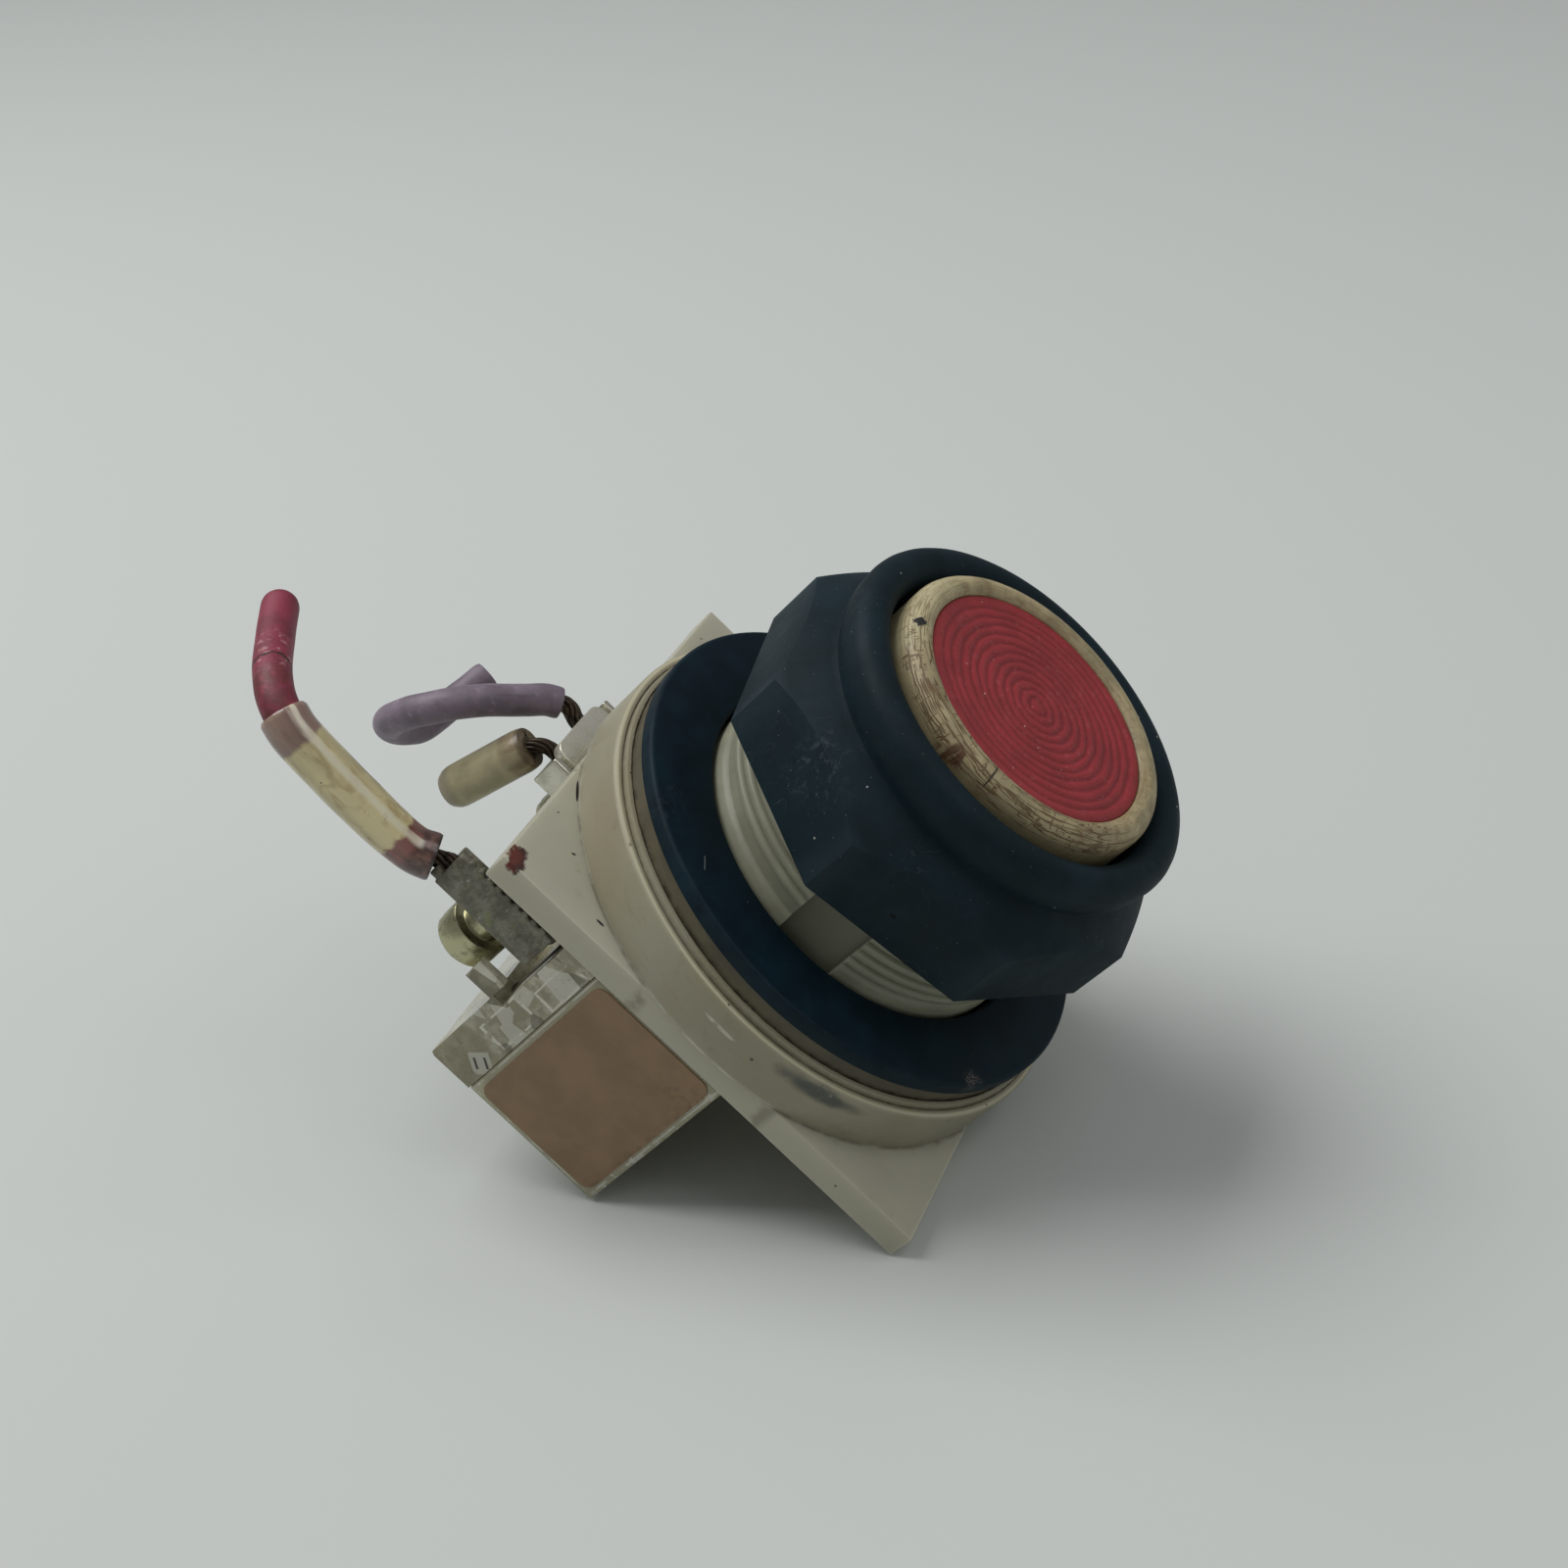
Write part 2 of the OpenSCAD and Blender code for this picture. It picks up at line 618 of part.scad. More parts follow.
module plunger_collar() {
    color("silver")
    at_block() translate([0, 0, collar_back])
    difference() {
        cylinder(d = collar_d, h = collar_t, $fn = 32);
        translate([0, 0, -eps]) cylinder(d = pin_stem_d, h = collar_t + 2 * eps, $fn = 32);
    }
}

module plunger_spring() {
    color("gray")
    at_block()
        coil(pin_spring_d, 0.4, 4, pin_spring_z0 + touch, collar_back - pin_spring_z0 - 2 * touch);
}

module contact_bridge() {
    color("peru")
    at_block()
    difference() {
        box([-bridge_w / 2, -bridge_len / 2, bridge_back], [bridge_w / 2, bridge_len / 2, bridge_top]);
        translate([0, 0, bridge_back - eps])
            cylinder(d = pin_stem_d + 0.2, h = bridge_t + 2 * eps, $fn = 32);
    }
}

module moving_tips() {
    color("silver")
    for (t = TERMINALS) translate([block_x, t[0] + t[1] * neck_y, bridge_back - tip_t])
        cylinder(d = tip_d, h = tip_t, $fn = 32);
}

module contact_spring() {
    color("gray")
    at_block()
        coil(pin_spring_d, 0.35, 2.5, bridge_top + touch, pin_shoulder - bridge_top - 2 * touch);
}

module terminal_strips() {
    color("peru")
    for (t = TERMINALS) {
        inner = t[0] + t[1] * neck_y;
        difference() {
            union() {
                translate([t[2], t[0] - t[3] / 2, strip_z - strip_t])
                    linear_extrude(strip_t) offset(r = pad_round, $fn = 32) offset(delta = -pad_round)
                        square([carrier_x0 + pad_end - t[2], t[3]]);
                box([carrier_x0, inner - neck_w / 2, strip_z - strip_t],
                    [leg_x, inner + neck_w / 2, strip_z]);
                box([leg_x - strip_t, inner - neck_w / 2, strip_foot_z],
                    [leg_x, inner + neck_w / 2, strip_z]);
                box([leg_x - strip_t, inner - neck_w / 2, strip_foot_z],
                    [block_x + tip_d / 2 + 0.4, inner + neck_w / 2, strip_foot_z + strip_t]);
            }
            translate([screw_x, t[0], strip_z - strip_t - eps])
                cylinder(d = screw_d, h = strip_t + 2 * eps, $fn = 32);
        }
    }
}

module fixed_tips() {
    color("silver")
    for (t = TERMINALS) translate([block_x, t[0] + t[1] * neck_y, strip_foot_z + strip_t])
        cylinder(d = tip_d, h = tip_t, $fn = 32);
}

// Saddle with its base from low to high beside its screw, and a wall of height rise on each side in
// walls. Its front lies in behind the line of the mouths. A lobe may stand out from each wall, and
// the top of a wall has teeth of height teeth_h, or none.
module wire_clamp(y, in, low, high, walls, rise, lobe, teeth_h) {
    tooth = 0.45;
    teeth = teeth_h > 0 ? floor((clamp_len - in) / (2 * tooth)) - 1 : 0;
    wall_h = clamp_t + rise;
    translate([clamp_x0, y, clamp_z - clamp_t])
    difference() {
        union() {
            box([in, -low, 0], [clamp_len, high, clamp_t]);
            for (side = walls) {
                y0 = side < 0 ? -low : high - clamp_wall;
                box([in, y0, 0], [clamp_len, y0 + clamp_wall, wall_h]);
                if (lobe > 0)
                    box([in - lobe, y0, 0.3], [in + eps, y0 + clamp_wall, clamp_t + 0.4]);
                for (k = [1 : 1 : teeth])
                    box([in + 2 * k * tooth, y0, wall_h - eps],
                        [in + (2 * k + 1) * tooth, y0 + clamp_wall, wall_h + teeth_h]);
            }
        }
        translate([screw_x - clamp_x0, 0, -eps])
            cylinder(d = screw_d + 0.2, h = clamp_t + 2 * eps, $fn = 32);
    }
}

module near_wire_clamp() {
    color("silver")
        wire_clamp(TERMINALS[0][0], 0, near_clamp_out, near_clamp_in, [-1], clamp_wall_h, 0.7, 0.3);
}

module far_wire_clamp() {
    color("silver")
        wire_clamp(TERMINALS[1][0], far_clamp_in, clamp_w / 2, clamp_w / 2, [-1, 1], far_wall_h, 0, 0);
}

module terminal_screws() {
    slot_w = 0.9;
    head_z = clamp_z - clamp_t - screw_slack - screw_head_h;
    color("darkkhaki")
    for (t = TERMINALS) translate([screw_x, t[0], head_z])
        difference() {
            union() {
                rotate_extrude($fn = 48)
                    polygon([[0, 0], [screw_head_d / 2 - 0.7, 0], [screw_head_d / 2, 0.7],
                        [screw_head_d / 2, screw_head_h], [0, screw_head_h]]);
                cylinder(d = screw_d, h = screw_top - head_z, $fn = 32);
            }
            box([-screw_head_d, -slot_w / 2, -eps], [screw_head_d, slot_w / 2, 1.1]);
        }
}

module pink_lead_strands() {
    color("saddlebrown") translate(PINK_MOUTH) tube(PINK_STRANDS, strand_d);
}

module pink_lead() {
    color("palevioletred") translate(PINK_MOUTH) tube(PINK_ROUTE, pink_d);
}

module clear_sleeve() {
    color("wheat", 0.5) translate(PINK_MOUTH)
        pipe(PINK_ROUTE, sleeve_d, pink_d, SLEEVE_FIRST, SLEEVE_LAST);
}

module violet_lead_strands() {
    color("saddlebrown") translate(VIOLET_MOUTH) tube(VIOLET_STRANDS, strand_d);
}

module violet_lead() {
    color("mediumpurple") translate(VIOLET_MOUTH) tube(VIOLET_ROUTE, violet_d);
}

module marker_lead_strands() {
    color("saddlebrown") translate(MARKER_MOUTH) tube(MARKER_STRANDS, strand_d);
}

module marker_sleeve() {
    way = unit(MARKER_WAY);
    route = [for (k = [0 : 4]) MARKER_START + way * marker_len * k / 4];
    color("beige") translate(MARKER_MOUTH) pipe(route, marker_d, strand_d + 0.6, 0, 4);
}

operator_body();
spacer_ring();
panel_gasket();
fixing_inserts();
stem_bush();
stem_seal();
spring_seat();
ring_nut();
button_cap();
colour_insert();
plunger_stem();
stem_clip();
push_bar();
return_spring();
block_housing();
terminal_carrier();
block_label();
block_screws();
block_plunger();
plunger_collar();
plunger_spring();
contact_bridge();
moving_tips();
contact_spring();
terminal_strips();
fixed_tips();
near_wire_clamp();
far_wire_clamp();
terminal_screws();
pink_lead_strands();
pink_lead();
clear_sleeve();
violet_lead_strands();
violet_lead();
marker_lead_strands();
marker_sleeve();
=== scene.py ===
"""Panel push-button operator with one contact block: its finished pieces, stage and camera.

Every length in the code is in millimetres and goes through mm(); Blender's own unit is the metre.
+Z is the way the button faces, -X is towards the terminals and -Y towards the block's label.
"""
import json
import math

import bmesh
import bpy
from mathutils import Matrix, Vector

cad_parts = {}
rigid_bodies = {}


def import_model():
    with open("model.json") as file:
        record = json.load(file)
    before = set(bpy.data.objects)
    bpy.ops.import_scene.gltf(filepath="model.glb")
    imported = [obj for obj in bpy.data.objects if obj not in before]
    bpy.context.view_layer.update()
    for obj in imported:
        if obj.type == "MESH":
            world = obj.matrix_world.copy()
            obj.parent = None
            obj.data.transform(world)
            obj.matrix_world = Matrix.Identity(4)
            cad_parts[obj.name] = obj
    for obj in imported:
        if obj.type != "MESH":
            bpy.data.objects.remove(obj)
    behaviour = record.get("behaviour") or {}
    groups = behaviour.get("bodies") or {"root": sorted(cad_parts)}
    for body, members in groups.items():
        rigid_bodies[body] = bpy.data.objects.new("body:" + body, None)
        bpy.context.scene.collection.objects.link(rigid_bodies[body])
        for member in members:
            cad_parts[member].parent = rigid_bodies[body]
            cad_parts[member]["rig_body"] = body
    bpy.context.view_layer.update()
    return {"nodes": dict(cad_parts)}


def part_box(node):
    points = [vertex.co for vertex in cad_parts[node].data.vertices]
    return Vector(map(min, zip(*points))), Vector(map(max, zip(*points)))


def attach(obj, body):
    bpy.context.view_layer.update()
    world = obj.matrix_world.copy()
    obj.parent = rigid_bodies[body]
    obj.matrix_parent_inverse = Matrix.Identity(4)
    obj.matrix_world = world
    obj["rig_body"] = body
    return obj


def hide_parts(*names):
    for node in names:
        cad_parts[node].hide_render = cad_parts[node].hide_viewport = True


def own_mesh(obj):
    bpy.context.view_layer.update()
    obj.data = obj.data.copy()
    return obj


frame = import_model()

bl_info = {
    "name": "Push-button operator",
    "version": (1, 0, 0),
    "blender": (4, 5, 0),
    "location": "3D View > Sidebar > Push button",
    "description": "Makes a panel push-button operator with a guarded nut, a contact block and cut-off leads",
    "category": "Add Mesh",
}

UNIT = 0.001
SMOOTH_BELOW = 35.0             # degrees: edges that turn by more are shaded sharp
PLATE_HALF = 21.2               # half the width of the square plate
BARREL_RADIUS = 15.0            # to the crest of the barrel's thread
RING_HOLE = 15.3                # radius of the hole in the spacer and the gasket


def mm(x, y, z):
    """A point given in millimetres, in metres."""
    return Vector((x, y, z)) * UNIT


def paint(code):
    """A colour written as six hexadecimal digits, as linear red, green and blue."""
    parts = [int(code[i:i + 2], 16) / 255 for i in (0, 2, 4)]
    return tuple(c / 12.92 if c <= 0.04045 else ((c + 0.055) / 1.055) ** 2.4 for c in parts)


def rgba(colour):
    """A colour for a socket: six hexadecimal digits, or linear red, green and blue."""
    return (*(paint(colour) if isinstance(colour, str) else tuple(colour)[:3]), 1.0)


def low_high(node):
    """A node's lowest and highest corner, in millimetres."""
    low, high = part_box(node)
    return low / UNIT, high / UNIT


# ---- sizes and colours that a user would change

def length_value(name, description, default):
    return bpy.props.FloatProperty(name=name, description=description, default=default * UNIT,
                                   unit="LENGTH", subtype="DISTANCE", precision=5)


def colour_value(name, description, code):
    return bpy.props.FloatVectorProperty(name=name, description=description, default=paint(code),
                                         subtype="COLOR", size=3, min=0, max=1)


class ButtonSizes(bpy.types.PropertyGroup):
    edge_round: length_value("Edge round", "Radius on the edges of the moulded pieces", 0.25)
    metal_round: length_value("Metal edge round", "Radius on the edges of the metal pieces", 0.09)
    thread_pitch: length_value("Thread pitch", "Pitch of the barrel's thread", 1.05)
    thread_depth: length_value("Thread depth", "Depth of the barrel's thread", 0.35)
    strand_count: bpy.props.IntProperty(name="Strands", description="Strands in each lead", default=9, min=3)
    strand_lay: length_value("Strand lay", "Length in which a strand goes once round its lead", 9.0)
    insert_rings: bpy.props.IntProperty(name="Ring grooves", description="Grooves in the red insert",
                                        default=11, min=1)


class ButtonColours(bpy.types.PropertyGroup):
    body: colour_value("Moulded body", "Milky plastic of the plate and drum", "a5a290")
    barrel: colour_value("Barrel", "Plastic of the threaded barrel", "8f907c")
    spacer: colour_value("Spacer", "Ring behind the gasket", "544e3a")
    rubber: colour_value("Gasket", "Rubber of the gasket", "0b1f29")
    nut: colour_value("Ring nut", "Plastic of the ring nut and guard", "112229")
    cap: colour_value("Button cap", "Plastic of the cap's rim", "a09370")
    insert: colour_value("Button insert", "Coloured face of the button", "992930")
    label: colour_value("Label", "Paper of the block's label", "856a4c")
    clear: colour_value("Clear plastic", "Contact block and terminal carrier", "c9c4a4")
    pink: colour_value("Pink lead", "Insulation of the near lead", "7f2a3e")
    violet: colour_value("Violet lead", "Insulation of the far lead", "776a77")
    sleeve: colour_value("Sleeve", "Clear sleeve on the near lead", "d8ca9a")
    marker: colour_value("Marker sleeve", "Short sleeve on the third lead", "aba37f")


class ButtonStage(bpy.types.PropertyGroup):
    lens: bpy.props.FloatProperty(name="Lens", description="Focal length of the camera",
                                  default=60.77, unit="CAMERA")
    key_power: bpy.props.FloatProperty(name="Key lamp", description="Power of the overhead lamp",
                                       default=3.3, unit="POWER")
    fill_power: bpy.props.FloatProperty(name="Fill lamp", description="Power of the lamp on the right",
                                        default=0.95, unit="POWER")
    sky: bpy.props.FloatProperty(name="Sky", description="Strength of the light from all round",
                                 default=0.245)
    floor: colour_value("Floor", "Colour of the floor and backdrop", "c5c9c6")


# ---- shader maths

class Link:
    """An output of a shader node. Python's operators on it add Math nodes."""

    def __init__(self, finish, socket):
        self.finish, self.socket = finish, socket

    def maths(self, operation, *values):
        return self.finish.add("ShaderNodeMath", {"operation": operation}, dict(enumerate(values)))

    def __add__(self, other):
        return self.maths("ADD", self, other)

    def __sub__(self, other):
        return self.maths("SUBTRACT", self, other)

    def __rsub__(self, other):
        return self.maths("SUBTRACT", other, self)

    def __mul__(self, other):
        return self.maths("MULTIPLY", self, other)

    def __truediv__(self, other):
        return self.maths("DIVIDE", self, other)

    def __rtruediv__(self, other):
        return self.maths("DIVIDE", other, self)

    def __pow__(self, other):
        return self.maths("POWER", self, other)

    def size(self):
        return self.maths("ABSOLUTE", self)

    def larger(self, other):
        return self.maths("MAXIMUM", self, other)

    __radd__ = __add__
    __rmul__ = __mul__


class Finish:
    """A material being made. Its point is the Object coordinate in millimetres."""

    def __init__(self, name, **constants):
        self.material = bpy.data.materials.new(name)
        self.material.use_nodes = True
        self.tree = self.material.node_tree
        self.surface = self.tree.nodes["Principled BSDF"]
        for key, value in constants.items():
            self.surface.inputs[key.replace("_", " ")].default_value = value
        self.surface.inputs["Subsurface Radius"].default_value = (1.0, 0.95, 0.8)
        place = self.add("ShaderNodeTexCoord", out="Object")
        self.point = self.add("ShaderNodeVectorMath", {"operation": "SCALE"}, {0: place, "Scale": 1 / UNIT})

    def add(self, kind, settings=None, inputs=None, out=0):
        """Any node: its type, its settings, and the values or links of its sockets."""
        node = self.tree.nodes.new(kind)
        for key, value in (settings or {}).items():
            if key == "stops":
                ramp = node.color_ramp.elements
                while len(ramp) < len(value):
                    ramp.new(0.5)
                for element, (place, colour) in zip(ramp, value):
                    element.position, element.color = place, colour
            else:
                setattr(node, key, value)
        for key, value in (inputs or {}).items():
            if isinstance(value, Link):
                self.tree.links.new(value.socket, node.inputs[key])
            else:
                node.inputs[key].default_value = value
        return Link(self, node.outputs[out])

    def to(self, socket, link):
        self.tree.links.new(link.socket, self.surface.inputs[socket])

    def axes(self, point=None):
        separate = self.add("ShaderNodeSeparateXYZ", None, {0: point or self.point})
        outputs = separate.socket.node.outputs
        return [Link(self, outputs[i]) for i in range(3)]

    def radius(self):
        """How far the point lies from the axis of the button."""
        x, y, _ = self.axes()
        return (x * x + y * y) ** 0.5

    def join(self, x, y, z):
        return self.add("ShaderNodeCombineXYZ", None, {0: x, 1: y, 2: z})

    def stretch(self, x, y, z, point=None):
        return self.add("ShaderNodeVectorMath", {"operation": "MULTIPLY"},
                        {0: point or self.point, 1: (x, y, z)})

    def noise(self, scale, detail=3.0, rough=0.55, point=None, distortion=0.0):
        return self.add("ShaderNodeTexNoise", None, {
            "Vector": point or self.point, "Scale": scale, "Detail": detail, "Roughness": rough,
            "Distortion": distortion})

    def cells(self, scale, out, point=None):
        return self.add("ShaderNodeTexVoronoi", None, {"Vector": point or self.point, "Scale": scale}, out)

    def rise(self, value, low, high):
        """0 below low, 1 above high and smooth between."""
        return self.add("ShaderNodeMapRange", {"interpolation_type": "SMOOTHSTEP"},
                        {"Value": value, "From Min": low, "From Max": high})

    def fall(self, value, low, high):
        """1 below low, 0 above high and smooth between."""
        return 1 - self.rise(value, low, high)

    def band(self, value, middle, half, soft):
        """1 within half of middle, falling to 0 over soft."""
        return self.fall((value - middle).size(), half, half + soft)

    def patches(self, low, high, *noise, **more):
        """0 where a noise is below low, 1 where it is above high and smooth between."""
        return self.rise(self.noise(*noise, **more), low, high)

    def mix(self, share, first, second):
        first = first if isinstance(first, Link) else rgba(first)
        second = second if isinstance(second, Link) else rgba(second)
        return self.add("ShaderNodeMix", {"data_type": "RGBA"}, {0: share, 6: first, 7: second}, 2)

    def mottle(self, colour, dark, light, *patches):
        """The colour, wandering in patches between two of its shades."""
        return self.mix(self.patches(*patches), shade(colour, dark), shade(colour, light))

    def coat(self, share, colour):
        """Lays a colour over the tone made so far, by a share from 0 to 1."""
        self.tone = self.mix(share, self.tone, colour)

    def spot(self, centre, radius, soft=0.3, ragged=0.5, squeeze=(1, 1, 1), turn=0.0):
        """1 in a ragged spot about a point in millimetres, turned about Z by degrees and squeezed."""
        away = self.add("ShaderNodeVectorMath", {"operation": "SUBTRACT"}, {0: self.point, 1: centre})
        if turn:
            away = self.add("ShaderNodeVectorRotate", {"rotation_type": "Z_AXIS"},
                            {"Vector": away, "Angle": math.radians(-turn)})
        away = self.stretch(*squeeze, point=away)
        far = self.add("ShaderNodeVectorMath", {"operation": "LENGTH"}, {0: away}, "Value")
        edge = far + (self.noise(1.6 / radius, 2) - 0.5) * (2 * ragged * radius)
        return self.fall(edge, radius * (1 - soft), radius)

    def bump(self, height, depth, strength=1.0):
        """Relief of the given depth in millimetres, where height goes from 0 to 1."""
        self.to("Normal", self.add("ShaderNodeBump", None, {
            "Height": height, "Strength": strength, "Distance": depth * UNIT}))

    def done(self, rough, height, depth, strength):
        """Gives the surface its tone, its roughness and its relief."""
        self.to("Base Color", self.tone)
        self.to("Roughness", rough)
        self.bump(height, depth, strength)
        return self


# ---- modelling helpers

def lathe(profile, steps=128, closed=True):
    """A turned shape about Z from its profile, a list of (radius, height) in millimetres."""
    bm = bmesh.new()
    ring = [bm.verts.new(mm(r, 0, z)) for r, z in profile]
    pairs = list(zip(ring, ring[1:] + ring[:1])) if closed else list(zip(ring, ring[1:]))
    edges = [bm.edges.new(pair) for pair in pairs]
    bmesh.ops.spin(bm, geom=ring + edges, cent=(0, 0, 0), axis=(0, 0, 1), dvec=(0, 0, 0),
                   angle=math.tau, steps=steps, use_merge=True, use_normal_flip=False, use_duplicate=False)
    bmesh.ops.remove_doubles(bm, verts=bm.verts, dist=1e-7)
    bmesh.ops.recalc_face_normals(bm, faces=bm.faces)
    return bm


def arc(cx, cz, radius, first, last, steps=6):
    """Points of a round in a profile, by its centre, radius and angles in degrees."""
    angles = [math.radians(first + (last - first) * i / steps) for i in range(steps + 1)]
    return [(cx + radius * math.cos(a), cz + radius * math.sin(a)) for a in angles]


def block(low, high):
    """A box from its low to its high corner in millimetres."""
    bm = bmesh.new()
    size = [b - a for a, b in zip(low, high)]
    middle = [(a + b) / 2 for a, b in zip(low, high)]
    matrix = Matrix.Translation(mm(*middle)) @ Matrix.Diagonal((*mm(*size), 1))
    bmesh.ops.create_cube(bm, size=1, matrix=matrix)
    return bm


def round_edges(bm, edges, radius, segments):
    bmesh.ops.bevel(bm, geom=edges, offset=radius * UNIT, offset_type="OFFSET", affect="EDGES",
                    segments=segments, profile=0.5, material=-1, clamp_overlap=True)


def waver(bm, inner, outer, above, size):
    """Makes the rings of a turned face run unevenly, between two radii and above a height."""
    for corner in bm.verts:
        x, y, z = corner.co / UNIT
        r, turn = math.hypot(x, y), math.atan2(y, x)
        if inner < r < outer and z > above:
            shift = size * (math.sin(3 * turn + 1.9 * r) + 0.6 * math.sin(8 * turn - 2.3 * r)
                            + 0.5 * math.sin(17 * turn + 3.0 * r))
            corner.co = mm(x * (1 + shift / r), y * (1 + shift / r), z)
    return bm


def smooth_route(points, per_span=4):
    """A finer route through the points, rounded by a Catmull-Rom spline."""
    ends = [points[0] * 2 - points[1]] + list(points) + [points[-1] * 2 - points[-2]]
    made = []
    for i in range(len(points) - 1):
        a, b, c, d = ends[i:i + 4]
        for k in range(per_span):
            t = k / per_span
            made.append(0.5 * ((2 * b) + (c - a) * t + (2 * a - 5 * b + 4 * c - d) * t ** 2
                               + (3 * b - a - 3 * c + d) * t ** 3))
    return made + [points[-1].copy()]


def route_frames(route):
    """The direction of a route at each point, and a side that turns as little as it can."""
    last = len(route) - 1
    ways = [(route[min(i + 1, last)] - route[max(i - 1, 0)]).normalized() for i in range(last + 1)]
    side = ways[0].orthogonal().normalized()
    frames = []
    for way in ways:
        side = (side - way * side.dot(way)).normalized()
        frames.append((way, side))
    return frames


def tube(route, radii, sides=20, bm=None, ends=True):
    """A tube along a route in metres, with one radius in millimetres for each of its points.
    It keeps how far along it, and which way round it, each corner lies."""
    bm = bm or bmesh.new()
    along = bm.verts.layers.float.get("along") or bm.verts.layers.float.new("along")
    around = bm.verts.layers.float_vector.get("around") or bm.verts.layers.float_vector.new("around")
    travelled, rings = 0.0, []
    for i, (point, (way, side)) in enumerate(zip(route, route_frames(route))):
        travelled += (point - route[i - 1]).length if i else 0.0
        turn = Matrix((side, way.cross(side), way)).transposed().to_4x4()
        ring = bmesh.ops.create_circle(bm, cap_ends=False, segments=sides, radius=radii[i] * UNIT,
                                       matrix=Matrix.Translation(point) @ turn)["verts"]
        for corner in ring:
            away = (corner.co - point).normalized()
            corner[along] = travelled / UNIT
            corner[around] = (away.dot(side), away.dot(way.cross(side)), 0)
        rings.append([e for v in ring for e in v.link_edges if e.other_vert(v) in ring])
    rings = [list(dict.fromkeys(edges)) for edges in rings]
    for first, second in zip(rings, rings[1:]):
        bmesh.ops.bridge_loops(bm, edges=first + second)
    if ends:
        bmesh.ops.contextual_create(bm, geom=rings[0])
        bmesh.ops.contextual_create(bm, geom=rings[-1])
    bmesh.ops.recalc_face_normals(bm, faces=bm.faces)
    return bm


def place(name, bm, body, finish, replaces, slot, smooth=SMOOTH_BELOW):
    """Puts a finished mesh in the scene as a piece that rides on a body."""
    mesh = bpy.data.meshes.new(name)
    bm.to_mesh(mesh)
    bm.free()
    piece = bpy.data.objects.new(name, mesh)
    bpy.context.scene.collection.objects.link(piece)
    mesh.materials.append(finish.material)
    smooth_faces(mesh, smooth)
    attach(piece, body)
    if replaces:
        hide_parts(*replaces)
    return piece


def smooth_faces(mesh, degrees):
    """Shades a mesh smooth, but for its edges that turn by more than the angle."""
    for face in mesh.polygons:
        face.use_smooth = True
    mesh.set_sharp_from_angle(angle=math.radians(degrees))


def settle(piece):
    """Makes a piece's modifiers part of its mesh."""
    graph = bpy.context.evaluated_depsgraph_get()
    graph.update()
    finished = bpy.data.meshes.new_from_object(piece.evaluated_get(graph))
    piece.modifiers.clear()
    piece.data = finished
    smooth_faces(finished, SMOOTH_BELOW)


def cut(piece, cutter_bm):
    """Cuts a closed shape out of a piece."""
    mesh = bpy.data.meshes.new("cutter")
    cutter_bm.to_mesh(mesh)
    cutter_bm.free()
    cutter = bpy.data.objects.new("cutter", mesh)
    bpy.context.scene.collection.objects.link(cutter)
    boolean = piece.modifiers.new("Cut", "BOOLEAN")
    boolean.object, boolean.operation, boolean.solver = cutter, "DIFFERENCE", "EXACT"
    settle(piece)
    bpy.data.objects.remove(cutter)


def ease(piece, radius, degrees):
    """Rounds a piece's edges that turn by more than the angle."""
    bevel = piece.modifiers.new("Round", "BEVEL")
    bevel.width, bevel.segments = radius * UNIT, 2
    bevel.limit_method, bevel.angle_limit = "ANGLE", math.radians(degrees)
    bevel.use_clamp_overlap = True
    settle(piece)


def copy_of(node):
    """A merged copy of a node's mesh, with its flat faces whole."""
    bm = bmesh.new()
    bm.from_mesh(frame["nodes"][node].data)
    bmesh.ops.remove_doubles(bm, verts=bm.verts, dist=2e-6)
    bmesh.ops.dissolve_limit(bm, angle_limit=math.radians(0.5), verts=bm.verts, edges=bm.edges,
                             delimit={"NORMAL"})
    return bm


def eased_copy(node, finish, radius, slot, degrees=35.0, bm=None):
    """A node's own shape with rounded edges, in its place."""
    body = frame["nodes"][node]["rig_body"]
    ease(place(node + "_finished", bm or copy_of(node), body, finish, [node], slot), radius, degrees)


# ---- finishes

def shade(colour, share):
    """A colour made darker or lighter by a factor."""
    return tuple(min(1.0, c * share) for c in tuple(colour)[:3])


def tinted(colour, by):
    """A colour with its red, green and blue each made darker or lighter by a factor."""
    return tuple(min(1.0, c * share) for c, share in zip(tuple(colour)[:3], by))


def specks(f, scale, size, share):
    """1 in scattered dots: cells of 1/scale mm, dots of size mm, in a share of the cells."""
    chance = f.axes(f.cells(scale, "Color"))[0]
    dots = f.fall(f.cells(scale, "Distance"), size * scale * 0.6, size * scale)
    return dots * f.rise(chance, 1 - share, 1.02 - share)


